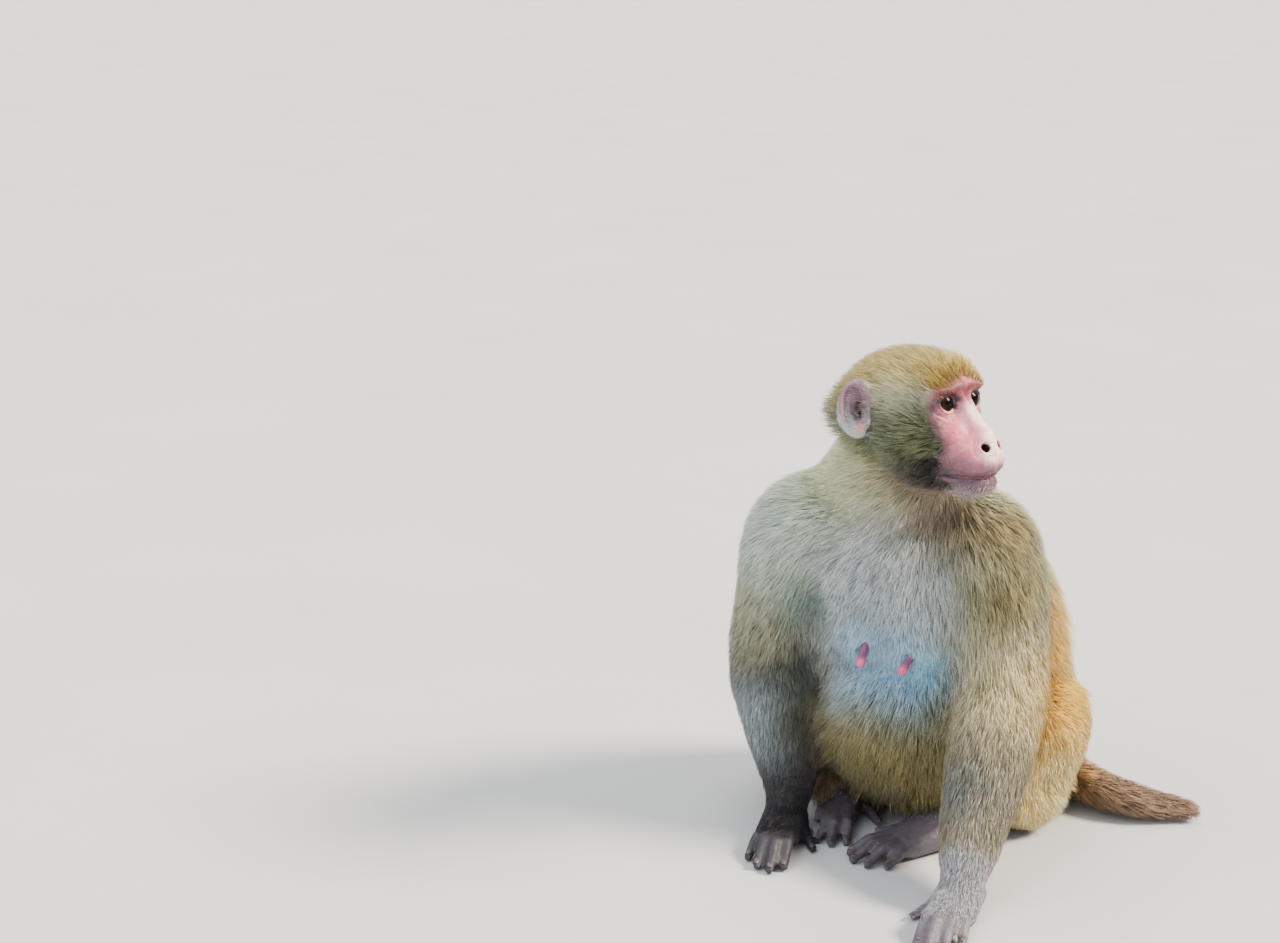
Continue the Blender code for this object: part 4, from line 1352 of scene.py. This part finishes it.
# Each digit: how far its root lies ahead of the wrist or ankle and towards the thumb's side, how far it
# spreads to that side, in degrees, and its length. The thumb or big toe comes last.
DIGITS = {
    "hand": [(47, 12, 4, 42), (50, 4, 1, 47), (48, -5, -3, 44), (43, -13, -8, 35), (18, 16, 28, 31)],
    "foot": [(79, 12, 6, 37), (82, 3, 0, 40), (79, -7, -5, 38), (72, -15, -11, 32), (38, 16, 34, 40)],
}
NAIL_LOOK_UP = 12     # from this high over the floor the nearest skin is a digit's top, in millimetres
NAIL_AHEAD = 0.8      # how far a nail's middle lies past the middle of its digit's end
HAND_NAIL, FOOT_NAIL = 5.2, 5.6       # widths


def heading(degrees):
    turn = math.radians(degrees)
    return np.array([math.cos(turn), math.sin(turn), 0])


def digit_ends(limb, side):
    """A place over each digit's end, to a tenth of a millimetre, and its way, to a degree."""
    x, y, turn = PAWS[f"{limb}_{side}"]
    inner = -1 if side == "left" else 1
    ahead, inwards = heading(turn), heading(turn + 90 * inner)
    for forward, across, spread, length in DIGITS[limb]:
        digit_turn = turn + spread * inner
        end = np.array([x, y, NAIL_LOOK_UP]) + ahead * forward + inwards * across
        end = np.round(end + heading(digit_turn) * length, 1)
        way = heading(round(digit_turn))
        yield end * MM + way * (NAIL_AHEAD * MM), way


def nail_plate(wide):
    """A curved plate of horn, as a flattened ball that narrows to its tip; millimetres wide."""
    bm = bmesh.new()
    bmesh.ops.create_uvsphere(bm, u_segments=18, v_segments=12, radius=MM)
    for v in bm.verts:
        x, y, z = v.co / MM
        taper = 1 - 0.12 * y
        v.co = Vector((x * wide / 2 * taper, y * wide * 0.66, z * 0.5 - 0.15 * wide * x * x)) * MM
    return bm


def nails(limb, side, wide, skin, material):
    """Nails on the tops of five digits' ends."""
    whole = bmesh.new()
    for place, way in digit_ends(limb, side):
        at, up = skin.find_nearest(Vector(place))[:2]
        up = unit(np.array(up) + (0, 0, 1))
        across = unit(np.cross(way, up))
        bm = nail_plate(wide)
        turn = Matrix([across, np.cross(up, across), up]).transposed().to_4x4()
        turn.translation = Vector(np.array(at) + up * (0.15 * MM))
        bmesh.ops.transform(bm, matrix=turn, verts=bm.verts)
        for v in bm.verts:
            v.co = Vector(np.clip(v.co, *CAD_BOX))
        put_into(whole, bm)
    name = f"{limb}_nails_{side}"
    keep(new_object(name, smooth_mesh_from(whole, name), material))


TEAT_PROFILE = [     # radius and height along the teat, in millimetres
    (4.6, -5), (4.2, -2), (3.4, 1), (3.1, 4), (3.3, 8), (3.9, 11.5), (4.1, 14), (3.4, 16.6), (1.8, 18.2),
    (0, 18.7)]
STALK_TONE, TEAT_TONE = "84507a", "cc6488"


def axis_down(points):
    """The middle of a long solid's upper end, and the way the solid hangs."""
    middle = points.mean(0)
    _, _, axes = np.linalg.svd(points - middle, full_matrices=False)
    way = axes[0] * (1 if axes[0][2] < 0 else -1)
    return middle + way * dot(points - middle, way).min(), way


def teat_shape():
    """A teat turned from its profile, standing upright and a little wavy."""
    bm = bmesh.new()
    rim = [bm.verts.new((r * MM, 0, h * MM)) for r, h in TEAT_PROFILE]
    edges = [bm.edges.new(pair) for pair in zip(rim, rim[1:])]
    bmesh.ops.spin(bm, geom=rim + edges, cent=(0, 0, 0), axis=(0, 0, 1), angle=math.tau,
                   steps=20, use_merge=True)
    bmesh.ops.remove_doubles(bm, verts=bm.verts, dist=1e-5)
    bmesh.ops.contextual_create(bm, geom=[e for e in bm.edges if e.is_boundary])
    bmesh.ops.recalc_face_normals(bm, faces=bm.faces)
    for v in bm.verts:
        v.co.x += 0.25 * MM * math.sin(v.co.z / MM * 2.1)
    return bm


def teat(side, material):
    """A long soft teat, darker along its stalk and pink at the end."""
    name = f"nipple_{side}"
    root, way = axis_down(points_of(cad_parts[name].data))
    bm = teat_shape()
    heights = np.array([v.co.z / MM for v in bm.verts])
    turn = UPRIGHT.rotation_difference(Vector(way)).to_matrix().to_4x4()
    turn.translation = Vector(root)
    bmesh.ops.transform(bm, matrix=turn, verts=bm.verts)
    mesh = smooth_mesh_from(bm, f"teat_{side}")
    set_pelt(mesh, mixed(tone(STALK_TONE), tone(TEAT_TONE), ease(9, 14, heights)[:, None]))
    keep(new_object(f"teat_{side}", mesh, material), [name])


# ---------------------------------------------------------------- the whole animal


def meeting_place(a, b):
    """The middle of the joint between two solids."""
    one, other = (points_of(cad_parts[name].data) for name in (a, b))
    tree = tree_of(other)
    gap = np.array([tree.find(p)[2] for p in one])
    return one[gap < max(3 * MM, gap.min() * 1.5)].mean(0)


# The hand or foot, the solid it hangs on, its regions, and how far down it the hair reaches.
HAIRY_ENDS = (
    ("hand", "forearm", ("hand", "shaded_hand"), 0.066),
    ("foot", "shank", ("foot",), 0.080),
)
LIMB_END_REACH = 0.14     # a hand or foot with its digits is shorter than this


def hair_limits(points, normals, shares):
    """How much hair stands where: none on fingers, palms and soles."""
    hairy = np.ones(len(points))
    for end, limb, names, reach in HAIRY_ENDS:
        share = share_of(shares, *names)
        for side in SIDES:
            joint = meeting_place(f"{end}_{side}", f"{limb}_{side}")
            far = np.linalg.norm(points - joint, axis=1)
            own = share * (far < LIMB_END_REACH)
            bald = np.maximum(ease(reach * 0.75, reach * 1.2, far), ease(0.1, -0.3, normals[:, 2]))
            hairy *= 1 - own * bald
    return hairy


# Places where the coat stands out beyond the solids, in the head's own axes and mirrored, and in
# metres of the room's axes on the body: the radius there and the height, in millimetres.
FULLER_HEAD = [((5, -50, 38), 19, 7.0), ((36, 50, 4), 22, 8.0), ((34, 60, -16), 24, 8.0)]
FULLER_BODY = [
    ((0.090, 0.062, 0.162), 30, 12.0), ((0.084, 0.060, 0.205), 28, 8.0), ((0.100, 0.050, 0.040), 24, 9.0)]


def fullness(points, local):
    """How far the coat stands out beyond the solids at each point, in millimetres."""
    rise = np.zeros(len(points))
    for at, places, unit_size in ((on_left(local), FULLER_HEAD, 1), (points, FULLER_BODY, MM)):
        for place, radius, height in places:
            rise += height * np.exp(-(np.linalg.norm(at - place, axis=1) / (radius * unit_size)) ** 2)
    return rise


# Where short hair stands on the muzzle and the chin, and how much on a square centimetre.
WHISKERS = [(0, -85, -47), (8, -80, -50), (14, -70, -52), (20, -56, -52)]
CHIN = [(0, -83, -55), (8, -78, -55), (16, -66, -56)]
WHISKERS_DENSE, BORDER_DENSE = 60, 120
LIP_HAIR, CHIN_HAIR, BROW_HAIR = "6e6060", "c6bcbc", "b88c50"
BARE_DEPTH, BALD_DEPTH = 0.8, 0.35       # how deep the skin lies on the face, and on fingers and soles
FACE_HAIR_LENGTH, FACE_HAIR_THICK = 4.0, 0.26
RIM_DENSER = 3.0        # how much denser hair stands on the ears' rims


def face_hair(at):
    """How dense the short hair is on the bare face: at its border, round the lips and on the chin."""
    muzzle = near_line(at, WHISKERS, 11) * ease(-30, -45, at[:, 1])
    chin = near_line(at, CHIN, 10)
    border = ease(-13, 1, face_edge(at)) ** 1.7
    return np.maximum(WHISKERS_DENSE * muzzle + WHISKERS_DENSE * chin, BORDER_DENSE * border)


def ear_rims(at):
    """1 along the rims of the ears and 0 in their hollows."""
    across, up = to_ear(at)[:, [0, 2]].T
    return ease(0.66, 0.95, np.hypot((across - 0.8) / 12.5, (up - 1.5) / 19.5))


def hair_tones(hair, at, beyond):
    """The coat's colours, greyer where it thins out over the lips and chin and golden at the brow."""
    border = ease(6, 0, beyond)
    lower, upper = ease(-50, -56, at[:, 2]), ease(10, 16, at[:, 2])
    for code, share in ((LIP_HAIR, border), (CHIN_HAIR, border * lower), (BROW_HAIR, border * upper)):
        hair = [laid_over(colours, code, share) for colours in hair]
    return hair


def smooth_skin(mesh, points, colours, material):
    """The hull's mesh turned into the skin."""
    mesh.vertices.foreach_set("co", points.astype(np.float32).ravel())
    mesh.update()
    mesh.polygons.foreach_set("use_smooth", np.ones(len(mesh.polygons), bool))
    set_pelt(mesh, colours)
    keep(new_object("skin", mesh, material), FLESH)


def build_body(material):
    """The skin, and all that the coat has to know of it."""
    mesh = hull_mesh()
    points, triangles = points_of(mesh), triangles_of(mesh)
    web, local = Web(mesh), to_head(points)
    normals = corner_normals(points, triangles)
    nodes = node_of_each(points)
    shares = regions_of(points, normals, local, nodes, web)
    beyond = past_face(points, local, nodes, web)
    full = np.where(share_of(shares, "ear", "lobe") < 0.5, ease(-2, 16, beyond), 1.0)
    fuller = fullness(points, local) * ease(0, 14, beyond) * (share_of(shares, "ear") < 0.1)
    outline = points + normals * ((fuller - NODE_SWELL) * MM)[:, None]
    hairy = hair_limits(points, normals, shares)
    depth = mixed(BALD_DEPTH, mixed(BARE_DEPTH, shares @ DEPTH, full), hairy)
    skin = faced(sunk(points, triangles, web, depth), triangles, web)
    hair = coat_tones(skin, shares)
    smooth_skin(mesh, skin, skin_colours(skin, shares, beyond, hair), material)
    at, normals = to_head(skin), corner_normals(skin, triangles)
    dense = mixed(face_hair(at), shares @ DENSE, ease(0, 6, beyond)) * hairy
    root_tone, tip_tone = hair_tones(hair, at, beyond)
    return {
        "points": skin, "triangles": triangles, "normals": normals, "nodes": nodes,
        "surface": surface_of(skin, triangles), "hull": surface_of(outline, triangles),
        "forward": share_of(shares, "chest", "breast", "belly", "throat") > 0.5,
        "flow": lie_of_coat(skin, normals, web),
        "dense": dense * (1 + share_of(shares, "ear") * RIM_DENSER * ear_rims(at)),
        "depth": depth + fuller,
        "length": mixed(FACE_HAIR_LENGTH, shares @ LENGTH, full) + fuller,
        "thick": mixed(FACE_HAIR_THICK, shares @ THICK, full),
        "locks": shares @ LOCKS * full,
        "root_tone": root_tone, "tip_tone": tip_tone,
    }


def build_coat(body):
    """The coat's pieces, each over the part of the skin that it owns."""
    hair = coat_material()
    owner = body["nodes"][body["triangles"][:, 0]]
    forward = body["forward"][body["triangles"][:, 0]]
    for name, (nodes, part, slot) in COAT_PIECES.items():
        owned = np.isin(owner, [FLESH.index(node) for node in nodes])
        if part != "all":
            owned &= forward if part == "front" else ~forward
        keep(grow(name, body, owned, hair))


def dress_seat_pads():
    """The seat pads keep their solids, in a hide of their own."""
    hide = pad_material()
    for side in SIDES:
        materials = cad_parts[f"seat_pad_{side}"].data.materials
        materials.clear()
        materials.append(hide)


def build_animal():
    skin, eye, horn = skin_material(), eye_material(), nail_material()
    body = build_body(skin)
    build_coat(body)
    for side in SIDES:
        eyeball(side, eye)
        teat(side, skin)
        nails("hand", side, HAND_NAIL, body["surface"], horn)
        nails("foot", side, FOOT_NAIL, body["surface"], horn)
    dress_seat_pads()


# ---------------------------------------------------------------- floor, light and camera


FLOOR_SIZE = 90     # metres from the middle to each side, so that its far edge is never seen


def floor():
    """A plain pale floor, a little uneven in tone."""
    bm = bmesh.new()
    bmesh.ops.create_grid(bm, x_segments=2, y_segments=2, size=FLOOR_SIZE)
    obj = new_object("floor", mesh_from(bm, "floor"))
    material, nodes, links, shader = new_material("pale_floor", 0.8)
    links.new(span(nodes, links, noise(nodes, links, 3, 4), 0.56, 0.60), shader.inputs["Base Color"])
    obj.data.materials.append(material)


def lamp(name, place, strength, spread, colour):
    """Even light over the whole floor, from the side that the place is on."""
    data = bpy.data.lights.new(name, "SUN")
    data.energy, data.angle, data.color = strength, math.radians(spread), colour
    obj = bpy.data.objects.new(name, data)
    bpy.context.scene.collection.objects.link(obj)
    obj.location = place
    obj.rotation_euler = (-Vector(place)).to_track_quat("-Z", "Y").to_euler()


def lights():
    """A broad soft window light, a warmer light low on the animal's left, and a soft one from above."""
    lamp("window", (-1.6, -2.4, 2.2), 2.3, 70, (0.90, 0.95, 1.0))
    lamp("sun_side", (2.1, 0.35, 1.8), 9.4, 16, (1.0, 0.90, 0.74))
    lamp("top", (-0.6, 0.8, 2.6), 2.0, 50, (1.0, 0.97, 0.90))
    world = bpy.data.worlds.new("room")
    world.use_nodes = True
    world.node_tree.nodes["Background"].inputs["Color"].default_value = (0.84, 0.89, 0.95, 1)
    world.node_tree.nodes["Background"].inputs["Strength"].default_value = 0.68
    bpy.context.scene.world = world


LENS, SENSOR = 58.9, 36                     # millimetres
STANDING = (0.3276, -1.6531, 0.782)         # where the camera stands
LOOKING = Vector((-0.342, 0.940, 0))        # the way it looks over the floor
LOOKING_DOWN = math.radians(15.1)


def camera():
    """The animal from its front and a little from its left, with bare floor beside it."""
    data = bpy.data.cameras.new("camera")
    data.lens = LENS
    data.sensor_width = SENSOR
    obj = bpy.data.objects.new("camera", data)
    bpy.context.scene.collection.objects.link(obj)
    obj.location = STANDING
    aim = LOOKING.normalized() * math.cos(LOOKING_DOWN) - UPRIGHT * math.sin(LOOKING_DOWN)
    obj.rotation_euler = aim.to_track_quat("-Z", "Y").to_euler()
    bpy.context.scene.camera = obj


build_animal()
floor()
lights()
camera()
